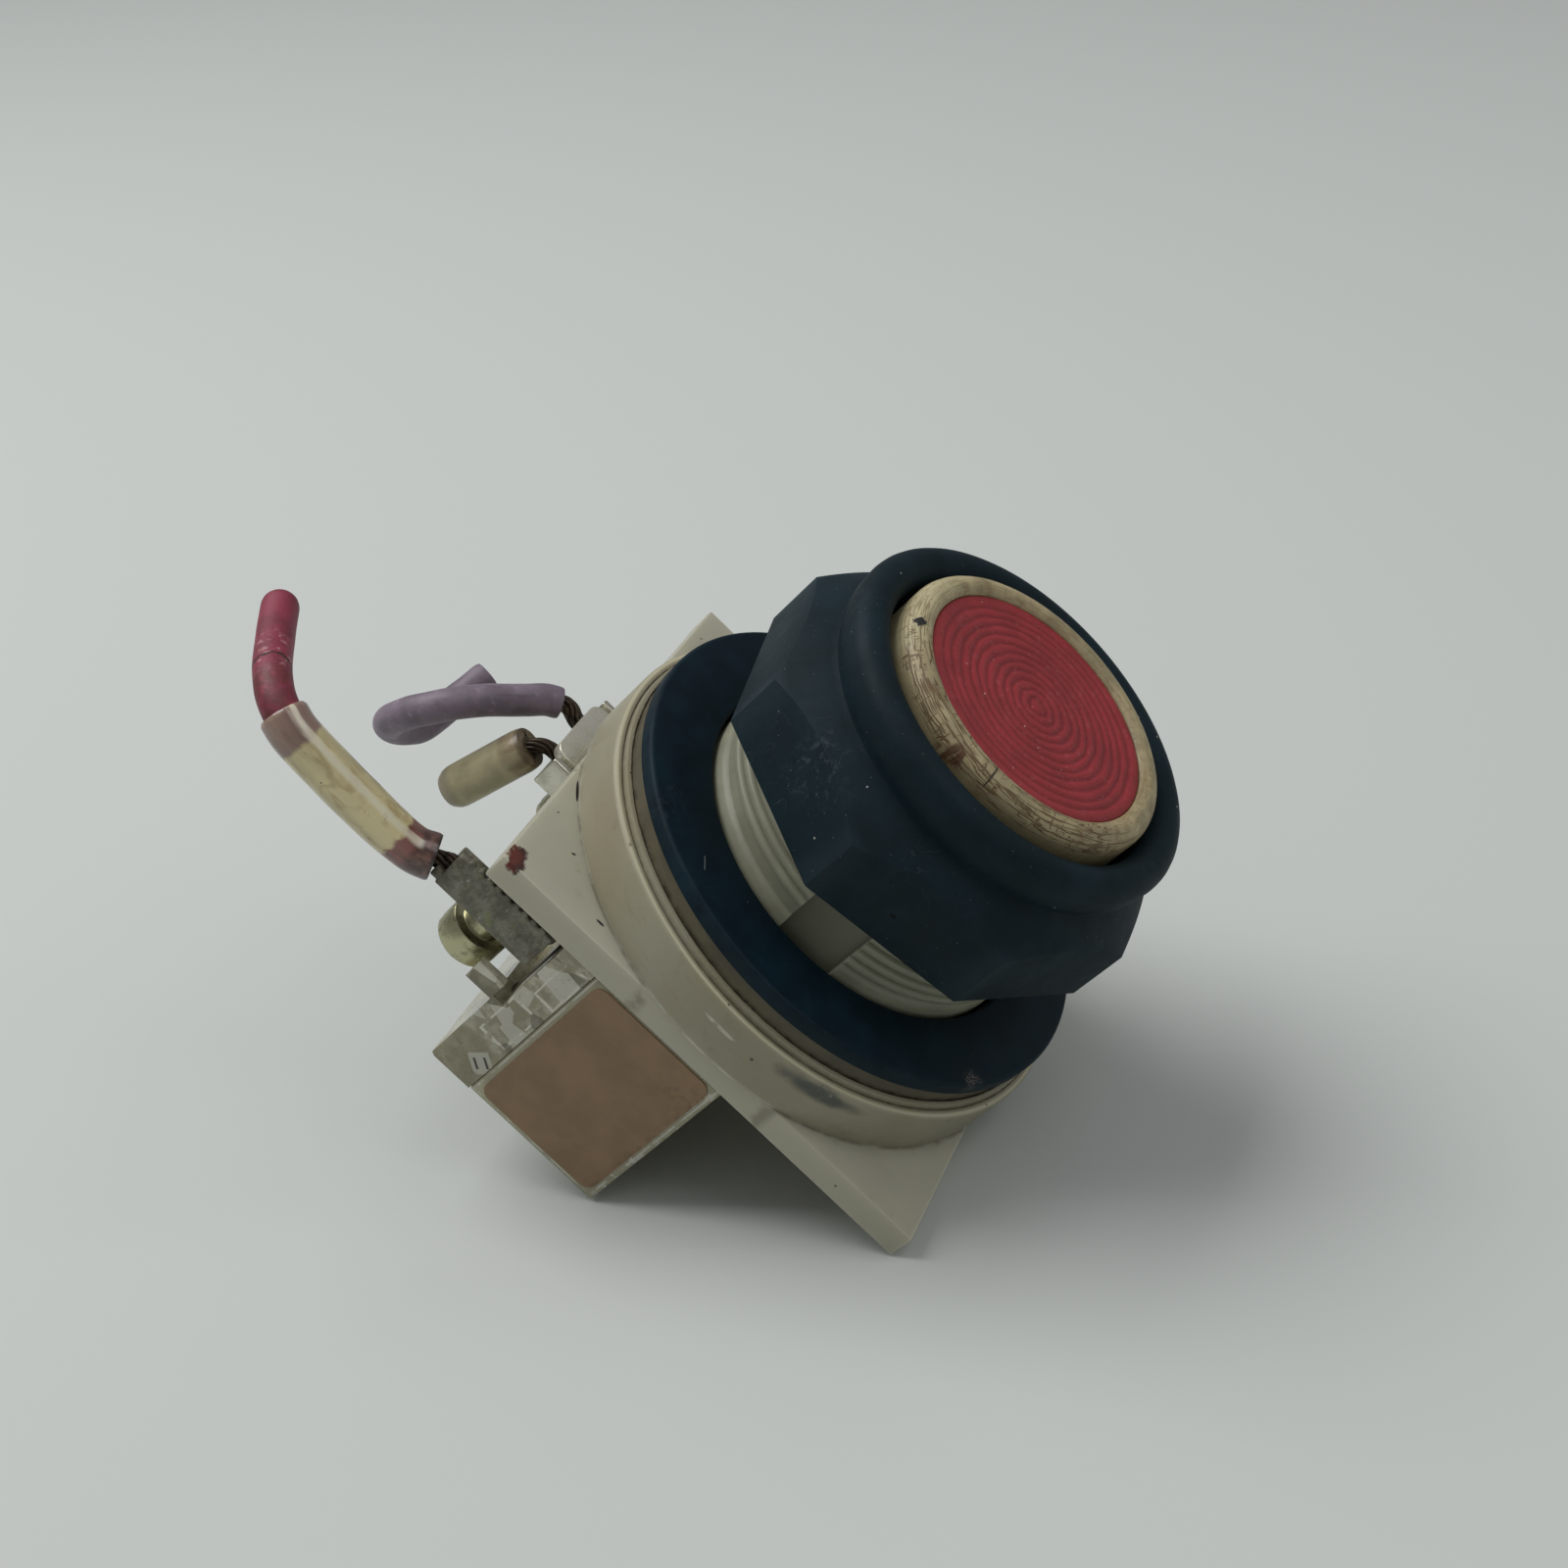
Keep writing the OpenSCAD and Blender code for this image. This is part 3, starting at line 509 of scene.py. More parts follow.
def milky_plastic(colour):
    """Aged milky plastic of the plate and drum, with dirty seams, stains, dark marks and painted highlights.
    """
    f = Finish("milky_plastic", Subsurface_Weight=0.25, Subsurface_Scale=0.0025, IOR=1.46)
    x, y, z = f.axes()
    r = f.radius()
    drum = f.rise(z, -8.35, -8.1)
    top = f.rise(z, -3.75, -3.6)
    f.tone = f.mix(drum, shade(colour, 1.02), tinted(colour, (0.75, 0.71, 0.615)))
    f.coat(f.patches(0.33, 0.68, 0.11, 4) * 0.5, f.mix(drum, shade(colour, 1.2), shade(colour, 0.88)))
    f.coat(f.patches(0.58, 0.75, 0.35, 5, 0.7) * 0.35, "6f6a52")
    streak = f.patches(0.56, 0.7, 0.5, 3, 0.6, f.stretch(1, 1, 4.0)) * drum
    f.coat(streak * 0.3, "8a7f70")
    # painted highlight: a lighter copy of the colour along the rounded edge of the drum's lip
    lip = f.band(r, 21.85, 0.08, 0.1) * f.rise(z, -4.0, -3.75)
    f.coat(lip * 0.85, tinted(colour, (1.3, 1.28, 1.16)))
    # painted light: the plate's -Y and +Y side faces are made a little lighter, its +X face much lighter
    side = f.rise(y.size(), 21.0, 21.15) * (1 - drum)
    f.coat(side, shade(colour, 1.15))
    f.coat(f.rise(x, 21.0, 21.15) * (1 - drum), shade(colour, 1.45))
    rag = f.noise(0.9, 4, 0.7)
    seam = (f.band(r, 21.44, 0.05, 0.06) * 0.75).larger(f.band(r + (rag - 0.5) * 0.2, 20.98, 0.03, 0.08))
    f.coat(seam * f.rise(rag, 0.36, 0.52) * top * 0.8, "3a301f")
    foot = f.band(r, 22.15, 0.03, 0.25) * (1 - drum) * f.patches(0.4, 0.6, 0.4, 3)
    f.coat(foot * 0.5, "5b523c")
    rust = f.spot((-20.3, -20.3, -8.4), 1.2, 0.3, 0.6, (1.3, 0.85, 1), 20)
    f.coat(rust, f.mix(f.patches(0.4, 0.6, 0.7), "5c2010", "35120a"))
    marks = f.spot((-20.05, -9.7, -8.4), 1.2, 0.2, 0.1, (1, 8, 1), -63)
    for centre, radius, squeeze, turn in (
            ((-21.4, -7.8, -8.4), 0.35, 1.6, 0), ((-15.75, -11.84, -3.6), 0.5, 3, -60),
            ((-12.4, -19.2, -8.4), 0.45, 3, 0), ((-17.2, -15.5, -8.4), 0.25, 2, 30),
            ((-20.6, -4.6, -8.4), 0.25, 1.5, 0)):
        marks = marks.larger(f.spot(centre, radius, 0.35, 0.4, (1, squeeze, 1), turn))
    f.coat(marks, "14100b")
    f.coat(specks(f, 0.55, 0.13, 0.2) * 0.8, "2a2216")
    f.coat(specks(f, 0.21, 0.3, 0.16) * 0.6, "4a3d25")
    smudge = f.spot((8.0, -20.6, -4.7), 4.6, 0.7, 0.7, (1, 1, 4.2)) * f.patches(0.26, 0.46, 0.7, 4, 0.7)
    smudge = smudge.larger(f.spot((2.4, -22.0, -5.6), 0.2, 0.3, 0.5))
    f.coat(smudge * 0.85, "363b3a")
    # painted glint: a pale streak on the drum's side
    glint = f.spot((-0.9, -22.05, -5.4), 2.1, 0.5, 0.15, (1, 1, 9)) * f.patches(0.3, 0.5, 0.7, 2)
    f.coat(glint * 0.55, "d8d2c0")
    scratch = f.patches(0.66, 0.7, 1, 2, point=f.stretch(0.15, 2.2, 1))
    return f.done(f.noise(0.5, 4) * 0.25 + 0.3, f.noise(0.5, 5, 0.6) + scratch * 0.2, 0.06, 0.6)


def barrel_plastic(colour):
    """Greenish cream plastic of the thread, darker in its roots, with painted shade in the keyway."""
    f = Finish("barrel_plastic", Subsurface_Weight=0.2, Subsurface_Scale=0.002, IOR=1.46)
    x, y, z = f.axes()
    r = f.radius()
    f.tone = f.mottle(colour, 0.9, 1.08, 0.35, 0.65, 0.2, 3)
    root = f.fall(r, 14.6, 14.85) * f.patches(0.3, 0.6, 0.4, 3) * f.rise(r, 14.2, 14.35)
    f.coat(root * 0.3, "4d4936")
    base = f.fall(z, 0.4, 1.3) * f.patches(0.35, 0.6, 0.35, 3)
    f.coat(base * 0.35, "75715c")
    # painted shade: a darker copy of the colour in the keyway
    keyway = f.fall(x.size(), 2.55, 2.7) * f.fall(y, -13.9, -13.7)
    f.coat(keyway * 0.75, shade(colour, 0.62))
    f.coat(specks(f, 0.5, 0.1, 0.2) * 0.7, "3a3122")
    return f.done(f.noise(0.8, 3) * 0.2 + 0.36, f.noise(1.5, 3), 0.03, 0.5)


def spacer_plastic(colour):
    f = Finish("spacer_plastic", Subsurface_Weight=0.1, Subsurface_Scale=0.0015)
    z = f.axes()[2]
    f.tone = f.mottle(colour, 0.8, 1.12, 0.35, 0.65, 0.25, 4)
    # darker in patches towards the back face, and evenly darker towards the front face
    dark_back_patches = f.fall(z, -2.9, -2.3) * f.patches(0.42, 0.6, 0.7, 4, 0.7)
    f.coat(dark_back_patches * 0.8, "2b2115")
    f.coat(f.rise(z, -1.75, -1.4) * 0.5, "3b3322")
    return f.done(f.noise(1.2, 3) * 0.25 + 0.4, f.noise(1.2, 4), 0.04, 0.5)


def gasket_rubber(colour):
    """Black rubber with a lighter edge band, a scratch and a pale scuff."""
    f = Finish("gasket_rubber", Specular_IOR_Level=0.12)
    x, y, _ = f.axes()
    r = f.radius()
    f.tone = f.mottle(colour, 0.75, 1.25, 0.35, 0.7, 0.3, 5, 0.65)
    edge = f.rise(r, 20.75, 21.15) * f.patches(0.35, 0.6, 0.5, 4, 0.7)
    f.coat(edge * 0.25, "243236")
    slant = x * 2.0 + y + 36.1
    scratch = f.spot((-10.1, -15.9, 0), 0.95, 0.2, 0.1, (2.4, 0.8, 1)) * f.band(slant, 0, 0.05, 0.12)
    scuff = f.spot((16.6, -12.5, 0), 1.2, 0.8, 0.9) * f.patches(0.46, 0.62, 6, 3, 0.7)
    scribble = f.spot((-15.1, -13.9, 0), 1.8, 0.5, 0.5, (1, 0.6, 1))
    scribble = scribble * f.band(f.noise(0.9, 1), 0.5, 0.012, 0.02)
    f.coat(scratch.larger(scribble * 0.06) * 0.6, "7b8383")
    f.coat(scuff * 0.65, "8b7d72")
    f.coat(specks(f, 0.7, 0.08, 0.14) * 0.6, "6d7373")
    rings = f.noise(1, 2, point=f.join(r * 1.6, 0, 0))
    return f.done(f.noise(0.6, 4) * 0.25 + 0.42, f.noise(2.5, 3) * 0.6 + rings * 0.7, 0.03, 0.5)


def nut_plastic(colour):
    """Matt black plastic with dust in fine scratches, pale specks and lighter worn corners."""
    f = Finish("nut_plastic", Specular_IOR_Level=0.15)
    r = f.radius()
    f.tone = f.mottle(colour, 0.82, 1.2, 0.35, 0.68, 0.22, 5, 0.65)
    f.coat(f.rise(r, 17.9, 18.6) * 0.3, "2a3a41")
    dust = f.patches(0.6, 0.72, 2.2, 5, 0.75) * f.patches(0.45, 0.65, 0.18, 3)
    f.coat(dust * 0.22, "4a5656")
    bloom = f.spot((-9.6, -14.2, 12.4), 4.2, 0.9, 0.5) * f.patches(0.5, 0.68, 1.6, 4, 0.7)
    f.coat(bloom * 0.35, "566062")
    fibres = f.band(f.noise(0.28, 1.5, 0.4, distortion=1.5), 0.5, 0.0008, 0.0022)
    fibres = fibres * f.patches(0.56, 0.62, 0.12, 2)
    f.coat(fibres * 0.2, "6d7775")
    f.coat(specks(f, 0.5, 0.11, 0.22) * 0.9, "a7aaa4")
    f.coat(specks(f, 1.7, 0.045, 0.35) * 0.6, "868c8b")
    chip = f.spot((1.75, -17.4, 9.4), 0.36, 0.3, 0.6, (1, 1, 1.6))
    f.coat(chip, "04070a")
    return f.done(f.noise(0.6, 4) * 0.2 + 0.5, f.noise(3.2, 4, 0.6) + f.noise(0.5, 3) * 0.6, 0.035, 0.45)


def cap_plastic(colour):
    """Yellowed rim crossed by fine brown cracks, with a rust stain, a black spot and a painted highlight on
    its -X side.
    """
    f = Finish("cap_plastic", Subsurface_Weight=0.12, Subsurface_Scale=0.001)
    x, y, z = f.axes()
    r = f.radius()
    turn = y.maths("ARCTAN2", y, x)
    wide = f.join(turn * 12, r * 1.0, z * 0.3)
    f.tone = f.mottle(colour, 0.84, 1.2, 0.35, 0.68, 0.4, 4, 0.6)
    f.coat(f.patches(0.5, 0.7, 0.35, 4, 0.7, wide) * 0.5, "7a6033")
    front = f.band(turn, -1.75, 0.9, 0.6)
    hooped = f.join(turn * 2.2, r * 2.4, z * 2.4)
    lines = f.band(f.noise(1.0, 2, 0.45, hooped), 0.5, 0.01, 0.03) * f.patches(0.34, 0.46, 0.5, 2, point=wide)
    finer = f.band(f.noise(1.9, 2, 0.5, hooped), 0.47, 0.006, 0.02)
    finer = finer * f.patches(0.48, 0.58, 0.8, 2, point=wide)
    barred = f.join(turn * 26, r * 0.5, z * 0.5)
    ticks = f.band(f.noise(1.0, 1, 0.4, barred), 0.5, 0.01, 0.035) * f.patches(0.52, 0.6, 1.3, 2, point=wide)
    cracks = lines.larger(finer).larger(ticks) * (front * 0.65 + 0.35) * f.rise(z, 18.6, 19.4)
    around_rim = r - z + (f.noise(0.7, 3, 0.6, wide) - 0.5) * 0.6
    for across, middle, reach in (
            (-7.25, -2.27, 0.34), (-7.55, -2.2, 0.2), (-8.4, -2.3, 0.24), (-8.2, -1.8, 0.15),
            (-7.6, -1.0, 0.4), (-8.35, -1.15, 0.3), (-7.9, -0.5, 0.2)):
        cracks = cracks.larger(f.band(around_rim, across, 0.03, 0.06) * f.band(turn, middle, reach, 0.05))
    # painted highlight: the rim is made lighter cream towards -X
    f.coat(f.fall(x, -11.8, -8.8) * 0.5, "cbc39d")
    f.coat(cracks * 0.85, "5a3d18")
    split = f.spot((-0.45, -11.7, 20.3), 1.2, 0.2, 0.1, (12, 1, 1), 4)
    f.coat(split * 0.9, "2b1d0e")
    rust = f.spot((-4.0, -12.0, 19.4), 2.3, 0.6, 0.6, (1, 1, 1.5)) * f.patches(0.38, 0.54, 0.9, 4, 0.7, wide)
    f.coat(rust * 0.85, "4c2409")
    f.coat(f.spot((-11.3, -3.6, 20.8), 0.72, 0.2, 0.8), "0c0c0e")
    low = f.fall(z, 19.2, 20.2)
    f.coat(low * f.patches(0.3, 0.6, 0.4, 3) * 0.25, "4d4327")
    return f.done(f.noise(1.5, 3) * 0.2 + 0.42, 1 - cracks + f.noise(2.5, 3) * 0.25, 0.06, 0.8)


def insert_plastic(colour):
    """Red face with worn crests, painted shade in its grooves and small sparkles of dirt."""
    f = Finish("insert_plastic", Subsurface_Weight=0.05, Subsurface_Scale=0.001)
    z = f.axes()[2]
    f.tone = f.mottle(colour, 0.86, 1.1, 0.35, 0.68, 0.3, 4, 0.6)
    # painted shade: the grooves get a darker copy of the red
    groove_shade = f.fall(z + (f.noise(2.5, 2) - 0.5) * 0.04, 20.12, 20.18)
    f.coat(groove_shade * 0.42, shade(colour, 0.5))
    f.coat(f.patches(0.58, 0.7, 1.6, 4, 0.7) * 0.3, "b3656b")
    f.coat(specks(f, 1.25, 0.07, 0.2), "e0b9b5")
    f.coat(specks(f, 2.7, 0.035, 0.3) * 0.7, "d99c9c")
    return f.done(f.noise(2.0, 3) * 0.2 + 0.4, f.noise(2.4, 4, 0.65), 0.09, 0.7)


def label_paper(colour):
    f = Finish("label_paper", Coat_Weight=0.15, Coat_Roughness=0.3)
    x = f.axes()[0]
    f.tone = f.mottle(colour, 0.9, 1.08, 0.35, 0.65, 0.28, 4, 0.6)
    f.coat(f.patches(0.55, 0.75, 5.0, 3, 0.7) * 0.25, shade(colour, 0.7))
    worn = f.spot((1.2, -21.1, -13.5), 2.2, 0.7, 0.9) * f.patches(0.5, 0.62, 1.2, 4)
    f.coat(worn * 0.5, "6d4f3a")
    f.coat(f.rise(x, 1.9, 2.6) * f.patches(0.42, 0.6, 1.5, 3) * 0.5, "5b4a33")
    return f.done(f.noise(1.0, 3) * 0.2 + 0.45, f.noise(3.0, 4, 0.7), 0.02, 0.4)


def clear_plastic(name, colour, cloudy=0.35, clear=0.75):
    """Yellowed clear plastic, hazy and dirty in places."""
    f = Finish(name, Transmission_Weight=clear, IOR=1.49)
    haze = f.patches(0.4, 0.7, 0.3, 4, 0.65)
    f.tone = f.mix(haze * cloudy, colour, shade(colour, 0.72))
    f.coat(f.patches(0.6, 0.74, 0.8, 5, 0.7) * 0.5, "6b5e3d")
    return f.done(haze * 0.22 + 0.1, f.noise(0.6, 2) + f.noise(1.6, 2) * 0.1, 0.06, 0.4)


def housing_plastic(colour):
    """The clear housing, with painted pale gleams along its walls' edges and painted glints on its +X rim."""
    f = clear_plastic("housing_plastic", colour, 0.35, 0.5)
    x, _, z = f.axes()
    # painted highlights along the walls' edges, and painted glints in patches on the +X rim
    edge = f.band(x, 2.9, 0.04, 0.08).larger(f.band(z, -28.2, 0.04, 0.08)).larger(f.band(x, -9.6, 0.03, 0.07))
    gleam = edge * f.patches(0.4, 0.55, 0.45, 3, 0.6)
    rim_glints = f.patches(0.56, 0.64, 0.9, 3, 0.6) * f.rise(x, 2.2, 2.8)
    f.tone = f.mix(f.patches(0.4, 0.7, 0.5, 4, 0.65) * 0.3, colour, shade(colour, 0.7))
    f.coat(gleam.larger(rim_glints), "fbf8ea")
    f.to("Base Color", f.tone)
    return f


def carrier_plastic(colour):
    """The yellowed carrier: inner edges with painted highlights and a dark slotted boss show through its
    side.
    """
    f = clear_plastic("carrier_plastic", colour, 0.5, 0.3)
    x, y, z = f.axes()
    side = f.fall(y, -20.9, -20.7)
    wander = (f.noise(0.6, 2) - 0.5) * 0.3
    f.tone = f.mix(f.patches(0.4, 0.6, 0.6, 4, 0.7), "aaa58a", "cfcbb4")
    for middle_x, middle_z, half_x, half_z in ((-11.0, -14.2, 1.0, 2.4), (-11.6, -20.6, 1.3, 2.4)):
        out_x = (x - middle_x + wander).size() / half_x
        out = out_x.larger((z - middle_z + wander).size() / half_z)
        f.coat(f.fall(out, 0.8, 0.9) * side * 0.3, "8d876e")
        gap = f.patches(0.38, 0.48, 0.9, 2)
        # painted highlights on the windows' edges, broken by gaps
        f.coat(f.band(out, 0.97, 0.03, 0.06) * gap * side, "f4f1e2")
    # painted highlights and painted shade in scattered cells on the upper part, standing for reflections in
    # the clear plastic
    cell = f.axes(f.cells(1.0, "Color", f.stretch(0.5, 1, 0.9)))[0]
    upper = f.rise(z, -23.4, -22.6) * side
    f.coat(f.rise(cell, 0.62, 0.7) * upper * 0.55, "f1efe2")
    f.coat(f.fall(cell, 0.2, 0.28) * upper * 0.55, "575340")
    down, across = x * 0.81 - z * 0.58, x * 0.58 + z * 0.81
    boss = f.band(down, 6.25, 0.95, 0.15) * f.band(across, -27.05, 0.85, 0.15) * side
    foot = f.fall(z, -24.2, -23.4) * side
    f.coat(foot * 0.6, "8f8560")
    f.coat(boss * 0.85, "d9d6c6")
    slits = f.band(across, -27.53, 0.06, 0.1).larger(f.band(across, -26.6, 0.06, 0.1))
    f.coat(slits * boss * f.band(down, 6.25, 0.5, 0.1), "2f2c24")
    f.coat(f.patches(0.58, 0.72, 0.8, 5, 0.7) * 0.45, "6b5e3d")
    f.to("Base Color", f.tone)
    return f


def metal(name, colour, dark, rough=0.35, tarnish=0.5, metallic=1.0, grain=1.0):
    """A metal with tarnish in patches and a rolled or turned grain."""
    f = Finish(name)
    patch = f.patches(0.42, 0.66, 0.5, 4, 0.7)
    f.tone = f.mix(patch * tarnish, colour, dark)
    f.coat(specks(f, 0.9, 0.12, 0.25) * 0.6 * tarnish, shade(dark, 0.5))
    f.to("Metallic", metallic - patch * (0.35 * tarnish))
    return f.done(patch * (0.3 * tarnish) + rough, f.noise(2.0 * grain, 4, 0.7), 0.04, 0.5)


def corroded_zinc():
    """Dull zinc plate with pale bloom and green and brown corrosion."""
    f = Finish("corroded_zinc")
    long = f.stretch(2.2, 0.5, 1.0)
    f.tone = f.mix(f.patches(0.35, 0.65, 0.7, 5, 0.7), "817f70", "605e52")
    f.coat(f.patches(0.5, 0.66, 0.8, 4, 0.7, long) * 0.55, "57503f")
    f.coat(f.patches(0.56, 0.68, 0.5, 3, 0.6, distortion=1.0) * 0.5, "7f8656")
    f.coat(f.patches(0.6, 0.7, 1.4, 4, 0.7, long) * 0.5, "b4b6ae")
    f.coat(specks(f, 1.1, 0.12, 0.2) * 0.6, "3a3426")
    f.to("Metallic", f.patches(0.4, 0.65, 1.1, 3) * 0.45 + 0.3)
    return f.done(f.noise(1.5, 4) * 0.3 + 0.34, f.noise(2.2, 5, 0.75), 0.12, 0.7)


def copper_strand(name, colour):
    f = Finish(name)
    f.tone = f.mix(f.patches(0.4, 0.65, 1.4, 3), colour, shade(colour, 0.4))
    f.to("Metallic", f.noise(1.2, 2) * 0.3 + 0.55)
    return f.done(f.noise(2.0, 2) * 0.2 + 0.34, f.noise(4.0, 3), 0.02, 0.4)


def lead_coordinates(f):
    """How far along a lead a point lies, in millimetres, and a place to make a pattern on its surface."""
    along = f.add("ShaderNodeAttribute", {"attribute_name": "along"}, out="Fac")
    around = f.add("ShaderNodeAttribute", {"attribute_name": "around"}, out="Vector")
    x, y, _ = f.axes(around)
    streaky = f.join(x * 1.6, y * 1.6, along * 0.16)
    return along, streaky, x, y


def pink_insulation(colour):
    """Crimson insulation, scuffed pale, with a crack and a brown bruise by the sleeve."""
    f = Finish("pink_insulation", Subsurface_Weight=0.1, Subsurface_Scale=0.0008)
    along, _, _, y = lead_coordinates(f)
    f.tone = f.mottle(colour, 0.8, 1.15, 0.35, 0.65, 0.5, 4, 0.6)
    pale = f.patches(0.52, 0.66, 1.3, 4, 0.7) * f.band(along, 22.0, 1.7, 1.6)
    f.coat(pale * 0.55, "c99a9c")
    bruise = f.fall(along, 19.0, 20.4) * f.patches(0.4, 0.6, 0.9, 4, 0.7)
    f.coat(bruise * 0.75, "5b2420")
    crack = f.band(along + (f.noise(0.8, 2) - 0.5) * 1.2 - y * 0.35, 20.5, 0.06, 0.12)
    crack = crack * f.patches(0.3, 0.38, 0.5, 1)
    f.coat(crack * 0.95, "230a0c")
    return f.done(f.noise(1.5, 3) * 0.25 + 0.42, 1 - crack + f.noise(1.8, 4, 0.7) * 0.5, 0.12, 0.7)


def violet_insulation(colour):
    f = Finish("violet_insulation", Subsurface_Weight=0.08, Subsurface_Scale=0.0008)
    streaky = lead_coordinates(f)[1]
    f.tone = f.mottle(colour, 0.8, 1.12, 0.35, 0.65, 0.45, 4, 0.6)
    f.coat(f.patches(0.55, 0.7, 1.2, 4, 0.7, streaky) * 0.45, "4a3f46")
    f.coat(f.patches(0.6, 0.7, 0.9, 4, 0.7) * 0.5, "a899ad")
    return f.done(f.noise(1.5, 3) * 0.25 + 0.4, f.noise(1.6, 4, 0.7), 0.08, 0.6)


def sleeve_plastic(colour, lit):
    """Glossy yellowed sleeve: dark red wire shows at its near end and mauve at its far end.
    A pale gleam runs along the side that faces the way lit, a pair of numbers round the sleeve."""
    f = Finish("sleeve_plastic", Coat_Weight=0.6, Coat_Roughness=0.08, Subsurface_Weight=0.12,
               Subsurface_Scale=0.001)
    along, streaky, x, y = lead_coordinates(f)
    rag = (f.noise(0.8, 3, 0.6) - 0.5) * 2.2
    f.tone = f.mottle(colour, 0.78, 1.12, 0.35, 0.65, 0.5, 4, 0.6, streaky)
    wavy = f.join(x * 1.2, y * 1.2, along * 0.3)
    stain = f.band(f.noise(0.9, 2, 0.5, wavy, 0.5), 0.47, 0.01, 0.07) * f.patches(0.42, 0.6, 0.35, 2)
    f.coat(stain * 0.36, "8f6a35")
    f.coat(f.patches(0.56, 0.7, 0.9, 4, 0.7) * f.fall(along, 5.5, 9.0) * 0.7, "8a5a2c")
    near = f.fall(along + rag, 3.4, 4.0)
    red = f.mix(f.patches(0.42, 0.6, 0.9, 3, 0.6, streaky), "4d2226", "823a44")
    f.coat(near * 0.9, red)
    mouth = f.fall(along + rag * 0.5, 1.5, 2.5)
    f.coat(mouth * 0.75, f.mix(f.patches(0.48, 0.68, 0.8, 3), "2c1a16", "7a6252"))
    far = f.rise(along + rag * 0.35, 13.6, 14.0)
    mauve = f.mix(f.patches(0.4, 0.6, 0.7, 3, 0.6, streaky), "775a58", "93776c")
    f.coat(far * 0.9, mauve)
    f.coat(specks(f, 0.9, 0.12, 0.3) * 0.85, "4a2c14")
    rim = f.fall(along, 0.08, 0.3).larger(f.rise(along, 16.75, 16.95))
    f.coat(rim * 0.85, "231812")
    gleam = f.rise(x * lit[0] + y * lit[1] + (f.noise(0.6, 2) - 0.5) * 0.03, 0.965, 0.995)
    gleam = gleam * f.patches(0.34, 0.5, 0.9, 3, 0.6, streaky) * f.rise(along, 1.0, 2.0)
    f.coat(gleam * 0.65, "f6efd6")
    relief = f.noise(1.0, 2, 0.5, streaky) + f.noise(1.3, 3) * 0.35
    return f.done(f.noise(1.0, 3, 0.6, streaky) * 0.2 + 0.2, relief, 0.16, 0.7)


def marker_plastic(colour):
    """Khaki sleeve with a darker, see-through near end and a grey far end."""
    f = Finish("marker_plastic", Coat_Weight=0.25, Coat_Roughness=0.15, Subsurface_Weight=0.12,
               Subsurface_Scale=0.001)
    along, streaky = lead_coordinates(f)[:2]
    f.tone = f.mottle(colour, 0.85, 1.1, 0.35, 0.65, 0.5, 4, 0.6)
    near = f.fall(along + (f.noise(0.9, 2) - 0.5) * 0.9, 1.5, 2.3)
    wires = f.mix(f.patches(0.4, 0.62, 1.2, 3, 0.6, streaky), "5a4232", "8b7a5e")
    f.coat(near * 0.6, wires)
    f.coat(f.fall(along, 0.1, 0.45) * 0.6, "3a2a1e")
    f.coat(f.rise(along, 6.9, 7.7) * 0.55, "8a8072")
    f.coat(specks(f, 0.6, 0.2, 0.3) * 0.9, "3a2416")
    return f.done(f.noise(1.0, 3) * 0.2 + 0.32, f.noise(1.2, 4, 0.6), 0.06, 0.5)


def plain_plastic(name, colour, rough=0.45):
    f = Finish(name)
    f.tone = f.mottle(colour, 0.82, 1.12, 0.35, 0.65, 0.5, 4, 0.6)
    return f.done(f.noise(1.2, 3) * 0.2 + (rough - 0.1), f.noise(2.5, 4, 0.6), 0.03, 0.5)


# ---- the leads' routes, in millimetres from the mouth in which each lead is clamped

PINK_MOUTH = (-23.4, -19.55, -13.85)
MARKER_MOUTH = (-23.4, -1.25, -13.85)
VIOLET_MOUTH = (-23.4, 3.75, -13.85)
PINK_STRANDS = [(8, 0, 0), (6, 0, 0), (4, 0, 0), (2, 0, 0), (0, 0, 0), (-0.5, -0.1, -0.3), (-1.2, -0.3, -0.5)]
PINK_ROUTE = [(-1.2, -0.3, -0.5), (-2.6, -0.7, -0.9), (-4.2, -1.1, -0.8), (-6, -1.6, -0.4), (-7.9, -2.1, 0.1),
              (-9.8, -2.6, 0.6), (-11.7, -3, 1.1), (-13.5, -3.3, 1.5), (-15.2, -3.4, 1.8), (-16.7, -3, 2),
              (-18, -2.1, 2), (-19, -0.8, 1.8), (-19.8, 0.7, 1.4), (-20.5, 2.3, 1), (-21.2, 4, 0.6),
              (-21.9, 5.7, 0.2), (-22.6, 7.4, -0.1), (-23.3, 9.1, -0.4)]
VIOLET_STRANDS = [(8, 0, 0), (6, 0, 0), (4, 0, 0), (2, 0, 0), (0, 0, 0), (-0.45, 0.1, 0.1), (-0.9, 0.2, 0.25),
                  (-1.3, 0.2, 0.3), (-1.65, 0.1, 0.3), (-2, -0.1, 0.2)]
VIOLET_ROUTE = [(-2, -0.1, 0.2), (-3.05, -0.7, -0.1), (-4.1, -2, -0.4), (-5.2, -3.2, -0.8),
                (-6.4, -4.4, -1.3), (-7.5, -5.5, -2), (-8.5, -6.5, -2.8), (-9.4, -7.1, -4),
                (-10.2, -7.2, -5.4), (-10.7, -6.8, -7), (-11, -6, -8.6), (-10.9, -4.8, -10.1),
                (-10.3, -3.3, -11.2), (-9.6, -1.8, -11.7), (-8.9, -0.2, -11.8), (-8.6, 1.6, -11.3),
                (-8.4, 3.3, -10.3), (-8.1, 4.8, -9.1), (-7.9, 6.2, -7.8)]
